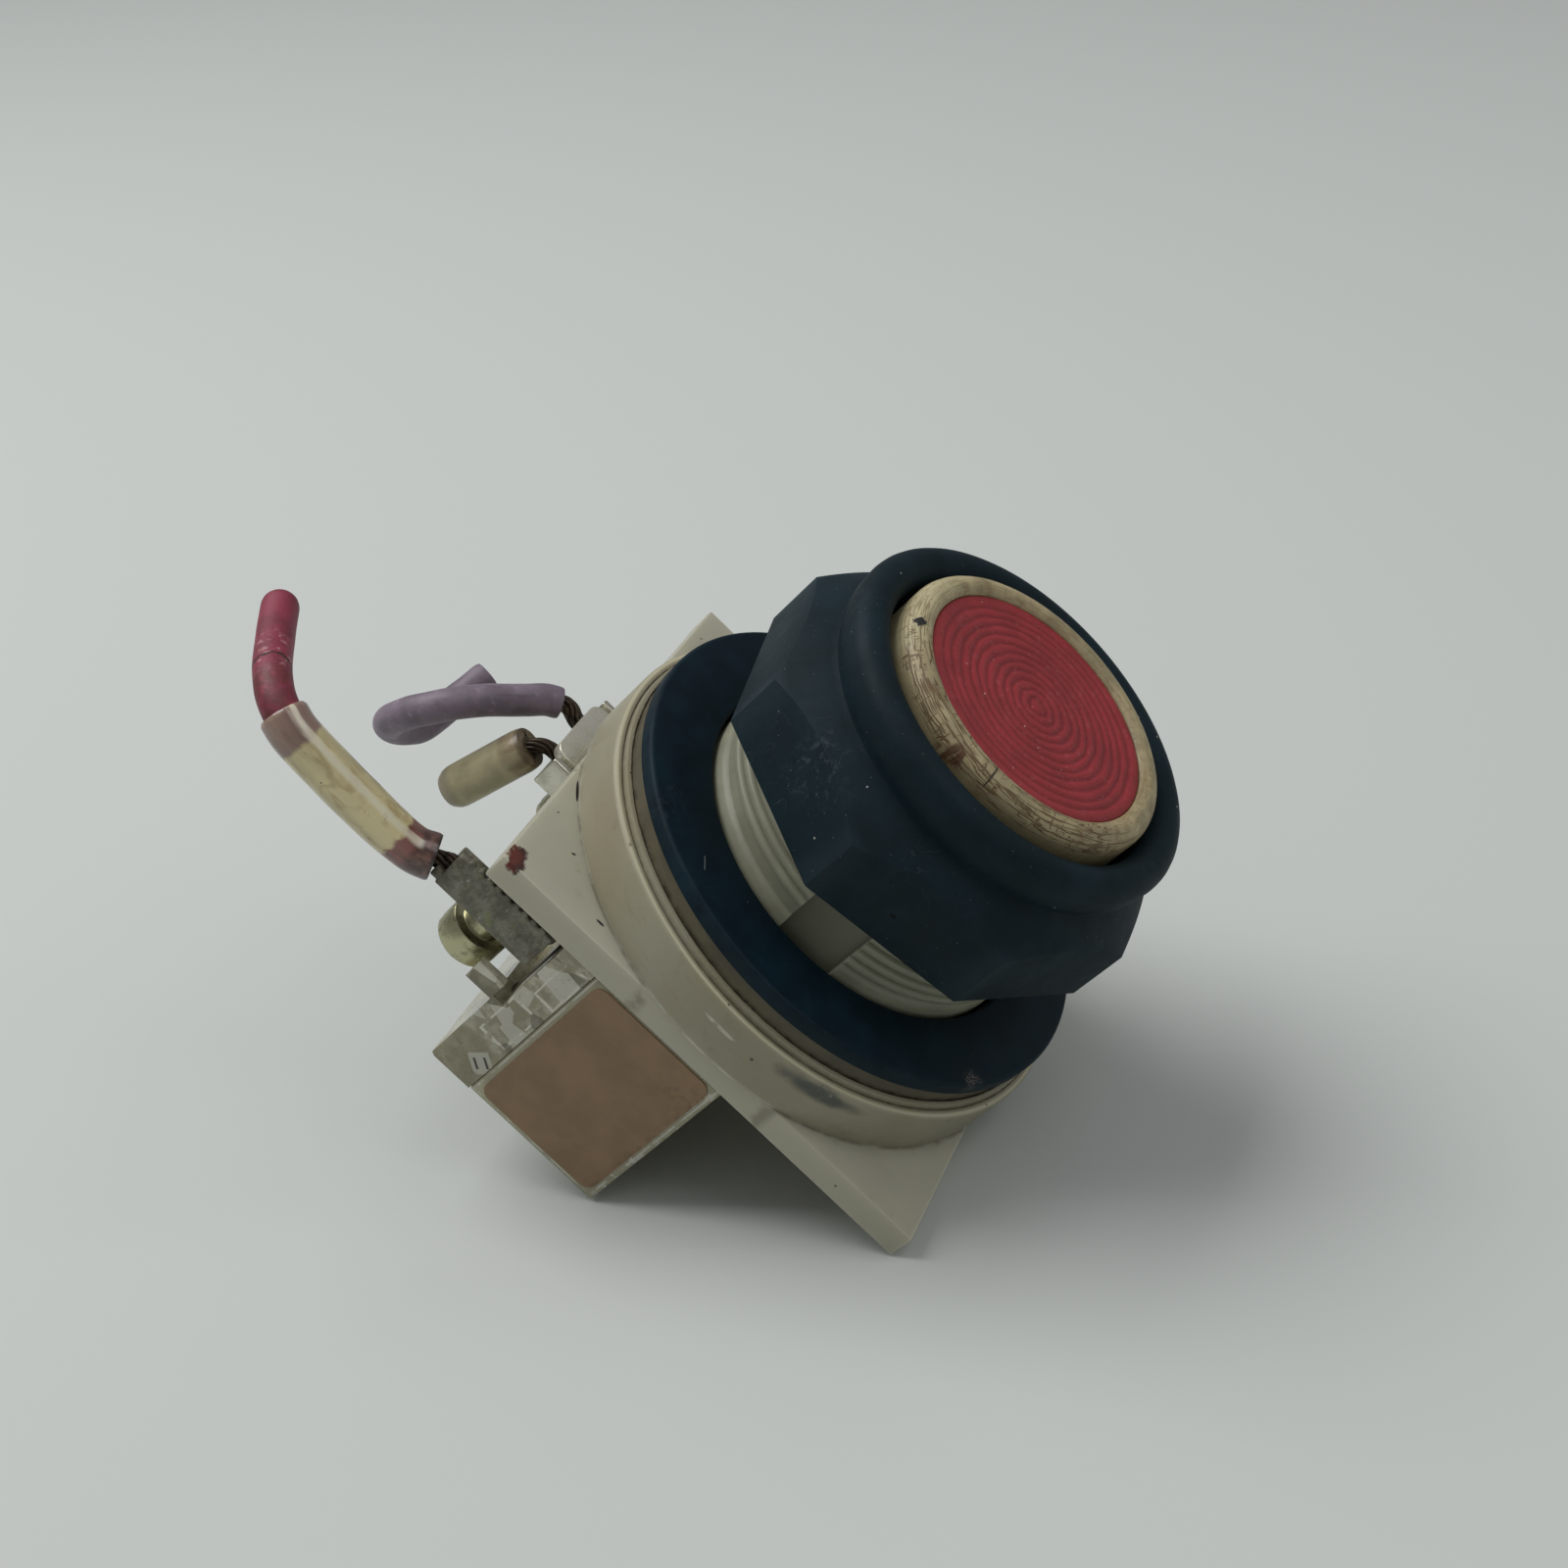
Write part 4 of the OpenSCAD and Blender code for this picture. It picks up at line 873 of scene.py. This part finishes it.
MARKER_STRANDS = [(8, 0, 0), (6, 0, 0), (4, 0, 0), (2, 0, 0), (0.6, 0, 0), (-0.3, -0.1, -0.05),
                  (-0.95, -0.35, -0.35), (-1.35, -0.55, -0.85), (-1.65, -0.75, -1.75), (-2.05, -1, -3.3),
                  (-2.55, -1.3, -5.2)]
MARKER_START = (-1.4, -0.6, -0.9)
MARKER_WAY = (-2.3, -1.4, -8.6)
MARKER_LENGTH = 8.5
LEAD_STRANDS_WIDE = 1.5
MARKER_STRANDS_WIDE = 1.3
PINK_WIDE = 3.0
SLEEVE_WIDE = 3.86
VIOLET_WIDE = 2.7
MARKER_WIDE = 3.7
MARKER_BORE = 1.9
LAST_SLEEVED = 9                # the point of the pink route at which its sleeve ends
FINE_SPANS = 6                  # spans of a lead's smooth route to each span between its points
LEAD_SIDES = 28
GLEAM_WAY = (-0.09, -0.46, 0.88)


def from_mouth(mouth, points):
    return [mm(*(m + p for m, p in zip(mouth, point))) for point in points]


def strands(name, route, wide, finish, node, settings):
    """Thin wires twisted together within the given width."""
    bm = bmesh.new()
    fine = smooth_route(route, 5)
    wire = wide / 7.2
    frames = route_frames(fine)
    for k in range(settings.strand_count):
        lane = 0.0 if k == 0 else wide / 2 - wire
        path, travelled = [], 0.0
        for i, (point, (way, side)) in enumerate(zip(fine, frames)):
            travelled += (point - fine[i - 1]).length if i else 0.0
            angle = math.tau * (k / (settings.strand_count - 1) + travelled / settings.strand_lay)
            out = side * math.cos(angle) + way.cross(side) * math.sin(angle)
            path.append(point + out * (lane * UNIT))
        tube(path, [wire] * len(path), 7, bm)
    return place(name, bm, "operator", finish, [node], "copper_strands", 60)


def pipe(route, outer, bore):
    """A closed-ended sleeve: its outside, its bore and a ring of faces at each end."""
    bm = bmesh.new()
    tube(route, outer, LEAD_SIDES, bm, ends=False)
    tube(route, bore, LEAD_SIDES, bm, ends=False)
    rims = {}
    for edge in [e for e in bm.edges if len(e.link_faces) == 1]:
        corner = edge.verts[0].co
        far_end = (corner - route[0]).length > (corner - route[-1]).length
        rims.setdefault(far_end, []).append(edge)
    for rim in rims.values():
        bmesh.ops.bridge_loops(bm, edges=rim)
    bmesh.ops.recalc_face_normals(bm, faces=bm.faces)
    return bm


class MakeLeads(bpy.types.Operator):
    """Makes the three cut-off leads: their strands, insulation and sleeves"""
    bl_idname = "push_button.leads"
    bl_label = "Leads"

    def execute(self, context):
        sizes, colours = context.scene.button_sizes, context.scene.button_colours
        copper = copper_strand("lead_strands", paint("41352a"))
        bare = copper_strand("far_lead_strands", paint("4f4336"))
        for lead, mouth, points, wide, finish in (
                ("pink", PINK_MOUTH, PINK_STRANDS, LEAD_STRANDS_WIDE, copper),
                ("violet", VIOLET_MOUTH, VIOLET_STRANDS, LEAD_STRANDS_WIDE, bare),
                ("marker", MARKER_MOUTH, MARKER_STRANDS, MARKER_STRANDS_WIDE, copper)):
            strands(lead + "_strands", from_mouth(mouth, points), wide, finish, lead + "_lead_strands", sizes)

        pink = from_mouth(PINK_MOUTH, PINK_ROUTE)
        fine = smooth_route(pink, FINE_SPANS)
        half = PINK_WIDE / 2
        radii = [half] * len(fine)
        radii[-4:] = [half * share for share in (0.99, 0.94, 0.82, 0.55)]
        sleeved = smooth_route(pink[:LAST_SLEEVED + 1], FINE_SPANS)
        outer = [SLEEVE_WIDE / 2 - 0.10 * math.exp(-((i - 9) / 8) ** 2) for i in range(len(sleeved))]
        outer[0], outer[-1] = SLEEVE_WIDE / 2 - 0.12, SLEEVE_WIDE / 2 - 0.14
        way, side = route_frames(sleeved)[len(sleeved) // 2]
        skyward = Vector(GLEAM_WAY).normalized()
        across = (skyward - way * skyward.dot(way)).normalized()
        lit = (across.dot(side), across.dot(way.cross(side)))
        sleeve = place("pink_lead_sleeve", pipe(sleeved, outer, [half + 0.05] * len(sleeved)), "operator",
                       sleeve_plastic(colours.sleeve, lit), ["clear_sleeve"], "sleeve_plastic", 50)
        lead = place("pink_lead_wire", tube(fine, radii, LEAD_SIDES), "operator",
                     pink_insulation(colours.pink), ["pink_lead"], "pink_insulation", 50)

        violet = from_mouth(VIOLET_MOUTH, VIOLET_ROUTE)
        fine = smooth_route(violet, FINE_SPANS)
        half = VIOLET_WIDE / 2
        radii = [half] * len(fine)
        radii[-2:] = [half * 0.98, half * 0.9]
        radii[:2] = [half * 0.95, half * 0.99]
        lead = place("violet_lead_wire", tube(fine, radii, LEAD_SIDES), "operator",
                     violet_insulation(colours.violet), ["violet_lead"], "violet_insulation", 50)

        start = from_mouth(MARKER_MOUTH, [MARKER_START])[0]
        way = Vector(MARKER_WAY).normalized() * MARKER_LENGTH * UNIT
        spans = 18
        route = [start + way * (i / spans) for i in range(spans + 1)]
        outer = [MARKER_WIDE / 2] * len(route)
        outer[:2] = [MARKER_WIDE * share for share in (0.46, 0.49)]
        outer[-3:] = [MARKER_WIDE * share for share in (0.495, 0.47, 0.4)]
        place("third_lead_sleeve", pipe(route, outer, [MARKER_BORE / 2] * len(route)), "operator",
              marker_plastic(colours.marker), ["marker_sleeve"], "marker_plastic", 50)
        return {"FINISHED"}


# ---- the stage: the camera's place and its axes, and where its lamps aim, in millimetres

CAMERA_PLACE = (-30.90, -169.76, 120.29)
CAMERA_RIGHT = (0.7171, 0.3404, 0.6082)
CAMERA_BACK = (-0.107, -0.809, 0.579)
LAMP_AIM = (-2, -6, -4)
LAMP_WIDE = 0.5                 # metres, as is the floor's size
FLOOR_SIZE = 1.5
FLOOR_GAP = 0.15                # millimetres by which the plate and the block stand clear of the floor


class MakeStage(bpy.types.Operator):
    """Sets the camera, the lamps and the pale floor on which the button lies on its side"""
    bl_idname = "push_button.stage"
    bl_label = "Stage"

    def execute(self, context):
        stage = context.scene.button_stage
        scene = context.scene
        scene.view_settings.view_transform = "Standard"
        right = Vector(CAMERA_RIGHT).normalized()
        back = Vector(CAMERA_BACK)
        back = (back - right * back.dot(right)).normalized()
        up = back.cross(right)
        data = bpy.data.cameras.new("camera")
        data.lens, data.sensor_width = stage.lens, 36
        data.clip_start, data.clip_end = 0.01, 10
        camera = bpy.data.objects.new("camera", data)
        camera.matrix_world = (Matrix.Translation(mm(*CAMERA_PLACE))
                               @ Matrix((right, up, back)).transposed().to_4x4())
        scene.collection.objects.link(camera)
        scene.camera = camera

        plate_low = low_high("operator_body")[0]
        block_low, block_high = low_high("block_housing")
        plate_edge = Vector((PLATE_HALF, 0, plate_low.z))
        block_edge = Vector((block_high.x, 0, block_low.z))
        slope = (plate_edge - block_edge).normalized()
        floor_up = Vector((-slope.z, 0, slope.x))
        forward = (-back - floor_up * -back.dot(floor_up)).normalized()
        side = forward.cross(floor_up)
        turn = Matrix((side, forward, floor_up)).transposed().to_4x4()
        foot = (plate_edge - floor_up * FLOOR_GAP) * UNIT

        bm = bmesh.new()
        bmesh.ops.create_grid(bm, x_segments=1, y_segments=1, size=FLOOR_SIZE,
                              matrix=Matrix.Translation(foot) @ turn)
        mesh = bpy.data.meshes.new("floor")
        bm.to_mesh(mesh)
        bm.free()
        floor = bpy.data.objects.new("floor", mesh)
        scene.collection.objects.link(floor)
        paper = Finish("floor_paper", Roughness=0.9)
        paper.surface.inputs["Base Color"].default_value = rgba(stage.floor)
        paper.surface.inputs["Specular IOR Level"].default_value = 0.1
        behind = paper.add("ShaderNodeNewGeometry", out="Backfacing")
        clear = paper.add("ShaderNodeBsdfTransparent")
        output = paper.tree.nodes["Material Output"]
        front = Link(paper, paper.surface.outputs[0])
        seen = paper.add("ShaderNodeMixShader", None, {0: behind, 1: front, 2: clear})
        paper.tree.links.new(seen.socket, output.inputs["Surface"])
        mesh.materials.append(paper.material)

        world = bpy.data.worlds.new("sky")
        scene.world = world
        world.use_nodes = True
        tree = world.node_tree
        light = tree.nodes["Background"]
        light.inputs["Color"].default_value = (0.97, 0.985, 1.0, 1)
        light.inputs["Strength"].default_value = stage.sky
        plain = tree.nodes.new("ShaderNodeBackground")
        plain.inputs["Color"].default_value = rgba(stage.floor)
        ray = tree.nodes.new("ShaderNodeLightPath")
        choose = tree.nodes.new("ShaderNodeMixShader")
        tree.links.new(ray.outputs["Is Camera Ray"], choose.inputs[0])
        tree.links.new(light.outputs[0], choose.inputs[1])
        tree.links.new(plain.outputs[0], choose.inputs[2])
        tree.links.new(choose.outputs[0], tree.nodes["World Output"].inputs["Surface"])

        for name, power, shift in (
                ("key", stage.key_power, floor_up * 0.55 - side * 0.30 + forward * 0.15),
                ("fill", stage.fill_power, floor_up * 0.45 + side * 0.38 + back * 0.2)):
            lamp = bpy.data.lights.new(name, "AREA")
            lamp.energy, lamp.size = power, LAMP_WIDE
            holder = bpy.data.objects.new(name, lamp)
            holder.matrix_world = (Matrix.Translation(mm(*LAMP_AIM) + shift)
                                   @ shift.to_track_quat("Z", "Y").to_matrix().to_4x4())
            scene.collection.objects.link(holder)
        return {"FINISHED"}


def thread(root, crest, top, key_half, pitch):
    """The barrel's thread: one ridge for each turn, from one side of the keyway to the other."""
    bm = bmesh.new()
    steps, foot = 120, 1.05
    first = foot + pitch / 2
    gap = math.asin(key_half / root)
    sweep = math.tau - 2 * gap
    form = [(root - 0.2, -0.49), (root, -0.46), (crest - 0.05, -0.27), (crest, -0.2), (crest, 0.2),
            (crest - 0.05, 0.27), (root, 0.42), (root - 0.2, 0.45)]
    for turn in range(int((top - 0.5 - first) / pitch)):
        start = Matrix.Rotation(gap - math.pi / 2, 4, "Z")
        ring = [bm.verts.new(start @ mm(r, 0, first + pitch * (turn + h))) for r, h in form]
        edges = [bm.edges.new(pair) for pair in zip(ring, ring[1:] + ring[:1])]
        bmesh.ops.spin(bm, geom=ring + edges, cent=(0, 0, 0), axis=(0, 0, 1), angle=sweep, steps=steps,
                       dvec=mm(0, 0, pitch * sweep / math.tau / steps), use_merge=False, use_duplicate=False)
    bmesh.ops.holes_fill(bm, edges=[e for e in bm.edges if len(e.link_faces) == 1], sides=len(form))
    bmesh.ops.recalc_face_normals(bm, faces=bm.faces)
    return bm


class MakeOperatorBody(bpy.types.Operator):
    """Makes the square plate, the drum and the threaded barrel"""
    bl_idname = "push_button.operator_body"
    bl_label = "Plate, drum and barrel"

    def execute(self, context):
        sizes, colours = context.scene.button_sizes, context.scene.button_colours
        low, high = low_high("operator_body")
        spacer = low_high("spacer_ring")
        gasket_back = low_high("panel_gasket")[0].z
        crest, root = BARREL_RADIUS, BARREL_RADIUS - sizes.thread_depth / UNIT
        bush, wall, web_back, web = 4.8, 14.0, -1.6, 1.0
        bore = low_high("button_cap")[1].x + 0.2
        hole, plate_top = 12.32, -8.4
        drum, lip, seat = high.x, 0.35, spacer[0].z
        ring, ring_top = spacer[1].x + 0.1, seat + 0.55
        milky = milky_plastic(colours.body)
        profile = ([(bush, web_back), (hole, web_back), (hole, plate_top), (drum, plate_top)]
                   + arc(drum - lip, seat - lip, lip, 0, 90)
                   + [(ring + 0.5, seat), (ring + 0.45, seat - 0.12), (ring + 0.36, seat - 0.12),
                      (ring + 0.34, ring_top), (ring, ring_top + 0.05), (ring - 0.05, seat), (wall, seat),
                      (wall, web), (bush, web)])
        place("drum", lathe(profile), "operator", milky, (), "body_plastic")

        moulded = barrel_plastic(colours.barrel)
        profile = [(wall, seat), (crest, seat), (crest, 0.5), (crest - 0.15, 0.8), (root, 1.0),
                   (root, high.z - 0.4), (root - 0.4, high.z), (bore, high.z), (bore, web), (wall, web)]
        barrel = place("barrel", lathe(profile), "operator", moulded, (), "body_plastic")
        key_half, key_y = 2.65, -14.1
        cut(barrel, block((-key_half, -16, gasket_back), (key_half, key_y, high.z + 1)))
        place("barrel_thread", thread(root, crest, high.z, key_half, sizes.thread_pitch / UNIT), "operator",
              moulded, (), "body_plastic")

        square = block((-PLATE_HALF, -PLATE_HALF, low.z), (PLATE_HALF, PLATE_HALF, plate_top))
        plate = place("square_plate", square, "operator", milky, ["operator_body"], "body_plastic")
        window_x, window_y, insert_radius = 8, 12, 2
        cut(plate, block((-window_x, -window_y, low.z - 1), (window_x, window_y, plate_top + 1)))
        insert_low, insert_high = low_high("fixing_inserts")
        for x in (insert_low.x + insert_radius, insert_high.x - insert_radius):
            for y in (insert_low.y + insert_radius, insert_high.y - insert_radius):
                bore_cut = lathe([(0, low.z - 1), (insert_radius, low.z - 1), (insert_radius, insert_high.z),
                                  (0, insert_high.z)], 32)
                bmesh.ops.translate(bore_cut, verts=bore_cut.verts, vec=mm(x, y, 0))
                cut(plate, bore_cut)
        ease(plate, sizes.edge_round / UNIT, 30)
        return {"FINISHED"}


class MakeRings(bpy.types.Operator):
    """Makes the spacer ring and the panel gasket"""
    bl_idname = "push_button.rings"
    bl_label = "Spacer and gasket"

    def execute(self, context):
        colours = context.scene.button_colours
        for node, bead, finish, slot in (
                ("spacer_ring", 0.12, spacer_plastic(colours.spacer), "tan_plastic"),
                ("panel_gasket", 0.35, gasket_rubber(colours.rubber), "gasket_rubber")):
            low, high = low_high(node)
            profile = ([(RING_HOLE, low.z), (high.x, low.z)]
                       + arc(high.x - bead, high.z - bead, bead, 0, 90)
                       + arc(RING_HOLE + bead, high.z - bead, bead, 90, 180))
            place(node + "_turned", lathe(profile, 160), "operator", finish, [node], slot)
        return {"FINISHED"}


class MakeRingNut(bpy.types.Operator):
    """Makes the octagonal ring nut with its raised guard"""
    bl_idname = "push_button.ring_nut"
    bl_label = "Ring nut"

    def execute(self, context):
        sizes, colours = context.scene.button_sizes, context.scene.button_colours
        eased_copy("ring_nut", nut_plastic(colours.nut), sizes.edge_round / UNIT, "nut_plastic", 25)
        return {"FINISHED"}


class MakeButton(bpy.types.Operator):
    """Makes the push button: its cracked cap, grooved red insert, stem, clip and push bar"""
    bl_idname = "push_button.button"
    bl_label = "Button"

    def execute(self, context):
        sizes, colours = context.scene.button_sizes, context.scene.button_colours
        eased_copy("button_cap", cap_plastic(colours.cap), 0.12, "cap_plastic", 40)
        low, high = low_high("colour_insert")
        rings = sizes.insert_rings
        ringed, depth = high.x - 0.7, 0.1
        step = ringed / (rings + 0.5)
        profile = [(0, low.z), (high.x, low.z), (high.x, high.z - 0.15), (high.x - 0.15, high.z)]
        for k in range(rings, 0, -1):
            r = k * step
            profile += [(r + step * 0.3, high.z), (r + step * 0.1, high.z - depth),
                        (r - step * 0.1, high.z - depth), (r - step * 0.3, high.z)]
        profile += [(0, high.z)]
        face = waver(lathe(profile, 192), 0.4, ringed, high.z - 0.2, 0.06)
        place("red_insert", face, "button", insert_plastic(colours.insert), ["colour_insert"],
              "red_plastic", 50)
        metal_round = sizes.metal_round / UNIT
        black, steel = "2b2f33", metal("clip_steel", paint("9a9a96"), paint("4c4236"))
        for node, finish, radius, slot in (
                ("plunger_stem", plain_plastic("stem_plastic", paint(black)), metal_round, "black_plastic"),
                ("stem_clip", steel, metal_round, "bright_steel"),
                ("push_bar", plain_plastic("bar_plastic", paint(black)), metal_round * 3, "black_plastic")):
            eased_copy(node, finish, radius, slot)
        return {"FINISHED"}


def coil(node, wire, turns, finish, body, slot, closed=0.75):
    """A round spring between its node's lowest and highest point, with closed end turns."""
    low, high = low_high(node)
    radius = (high.x - low.x) / 2 - wire / 2
    middle = (low + high) / 2
    bottom, top = low.z + wire / 2, high.z - wire / 2
    steps = 26
    total = turns + 2 * closed
    path = []
    for i in range(int(total * steps) + 1):
        turn = i / steps
        share = min(1.0, max(0.0, (turn - closed) / turns))
        lift = wire * 0.5 * min(turn, closed) / closed
        drop = wire * 0.5 * max(0.0, turn - closed - turns) / closed
        height = bottom + lift + (top - bottom - wire) * share + drop
        angle = math.tau * turn
        path.append(mm(middle.x + radius * math.cos(angle), middle.y + radius * math.sin(angle), height))
    return place(node + "_coil", tube(path, [wire / 2] * len(path), 10), body, finish, [node], slot, 60)


class MakeSprings(bpy.types.Operator):
    """Makes the return spring, the plunger's spring and the contact spring"""
    bl_idname = "push_button.springs"
    bl_label = "Springs"

    def execute(self, context):
        steel = metal("spring_steel", paint("a9a9a4"), paint("5a5044"), 0.28)
        for node, wire, turns, body, joint, stroke in (
                ("return_spring", 0.9, 5.0, "operator", "button_press", 5.5),
                ("plunger_spring", 0.4, 4.0, "operator", "contact_plunger_slide", 5.5),
                ("contact_spring", 0.35, 2.5, "contact_bridge", "contact_plunger_slide", 2.75)):
            spring = coil(node, wire, turns, steel, body, "bright_steel")
            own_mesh(spring)
        return {"FINISHED"}


class MakeInnerWorks(bpy.types.Operator):
    """Finishes the bush, seal, spring seat, inserts, plunger and contacts"""
    bl_idname = "push_button.inner_works"
    bl_label = "Inner works"

    def execute(self, context):
        colours = context.scene.button_colours
        round_by = context.scene.button_sizes.metal_round / UNIT
        nylon = plain_plastic("bush_plastic", paint("2a2e31"))
        green = plain_plastic("plunger_plastic", paint("3f7a5f"))
        rubber = gasket_rubber(colours.rubber)
        brass = metal("turned_brass", paint("b08d48"), paint("6b5228"))
        steel = metal("bright_steel_plate", paint("a3a39e"), paint("57493a"))
        copper = metal("copper_alloy", paint("a8794a"), paint("5d3f26"))
        silver = metal("silver_tips", paint("c0c0bb"), paint("6d6a62"), 0.3)
        for node, finish, slot in (
                ("stem_bush", nylon, "black_plastic"), ("stem_seal", rubber, "gasket_rubber"),
                ("spring_seat", steel, "bright_steel"), ("fixing_inserts", brass, "brass"),
                ("block_plunger", green, "green_plastic"), ("plunger_collar", steel, "bright_steel"),
                ("contact_bridge", copper, "copper_alloy"), ("moving_tips", silver, "silver_tips"),
                ("fixed_tips", silver, "silver_tips")):
            eased_copy(node, finish, round_by, slot)
        return {"FINISHED"}


class MakeBlock(bpy.types.Operator):
    """Makes the clear contact block, its terminal carrier, bare label and fixing screws"""
    bl_idname = "push_button.block"
    bl_label = "Contact block"

    def execute(self, context):
        sizes, colours = context.scene.button_sizes, context.scene.button_colours
        round_by = sizes.edge_round / UNIT
        eased_copy("block_housing", housing_plastic(colours.clear), round_by, "clear_plastic")
        carrier = copy_of("terminal_carrier")
        back = low_high("terminal_carrier")[0].z
        foot = -13.95
        foot_edge = [e for e in carrier.edges
                     if all(v.co.z / UNIT < back + 0.01 and v.co.x / UNIT < foot for v in e.verts)]
        round_edges(carrier, foot_edge, 0.8, 5)
        eased_copy("terminal_carrier", carrier_plastic(colours.clear), round_by, "amber_plastic", bm=carrier)
        bm = block(*low_high("block_label"))
        corners = [e for e in bm.edges if abs(e.verts[0].co.y - e.verts[1].co.y) > 1e-5]
        round_edges(bm, corners, 1.0, 6)
        place("bare_label", bm, "operator", label_paper(colours.label), ["block_label"], "label_paper")
        steel = metal("screw_steel", paint("8f8d80"), paint("4a3a26"), 0.4)
        eased_copy("block_screws", steel, sizes.metal_round / UNIT, "bright_steel")
        return {"FINISHED"}


class MakeTerminals(bpy.types.Operator):
    """Makes the terminal strips, wire clamps and terminal screws"""
    bl_idname = "push_button.terminals"
    bl_label = "Terminals"

    def execute(self, context):
        round_by = context.scene.button_sizes.metal_round / UNIT
        nickel = metal("nickel_plate", paint("e2dfd0"), paint("9a907a"), 0.24, 0.4, 0.75)
        worn = metal("worn_zinc", paint("d0cdbd"), paint("857d6a"), 0.22, 0.35, 0.9, 0.5)
        zinc = corroded_zinc()
        screw = metal("plated_screw", paint("b6b391"), paint("3b3a2a"), 0.26, 0.75)
        for node, finish, radius, slot in (
                ("terminal_strips", nickel, round_by * 2, "nickel"),
                ("near_wire_clamp", zinc, round_by * 2, "zinc"),
                ("far_wire_clamp", worn, round_by * 2, "zinc"),
                ("terminal_screws", screw, round_by, "zinc")):
            eased_copy(node, finish, radius, slot)
        return {"FINISHED"}


MAKERS = (MakeStage, MakeLeads, MakeOperatorBody, MakeRings, MakeRingNut, MakeButton, MakeSprings,
          MakeInnerWorks, MakeBlock, MakeTerminals)


class ButtonPanel(bpy.types.Panel):
    """Lists the sizes, the colours and the pieces to make"""
    bl_idname = "VIEW3D_PT_push_button"
    bl_label = "Push button"
    bl_space_type = "VIEW_3D"
    bl_region_type = "UI"
    bl_category = "Push button"

    def draw(self, context):
        for group in (context.scene.button_sizes, context.scene.button_colours, context.scene.button_stage):
            box = self.layout.box()
            for name in group.__annotations__:
                box.prop(group, name)
        for maker in MAKERS:
            self.layout.operator(maker.bl_idname)


CLASSES = (ButtonSizes, ButtonColours, ButtonStage, *MAKERS, ButtonPanel)


def register():
    for each in CLASSES:
        bpy.utils.register_class(each)
    bpy.types.Scene.button_sizes = bpy.props.PointerProperty(type=ButtonSizes)
    bpy.types.Scene.button_colours = bpy.props.PointerProperty(type=ButtonColours)
    bpy.types.Scene.button_stage = bpy.props.PointerProperty(type=ButtonStage)


def unregister():
    del bpy.types.Scene.button_stage
    del bpy.types.Scene.button_colours
    del bpy.types.Scene.button_sizes
    for each in reversed(CLASSES):
        bpy.utils.unregister_class(each)


def main():
    register()
    bpy.ops.push_button.stage()
    bpy.ops.push_button.leads()
    bpy.ops.push_button.operator_body()
    bpy.ops.push_button.rings()
    bpy.ops.push_button.ring_nut()
    bpy.ops.push_button.button()
    bpy.ops.push_button.springs()
    bpy.ops.push_button.inner_works()
    bpy.ops.push_button.block()
    bpy.ops.push_button.terminals()


if __name__ == "__main__":
    main()
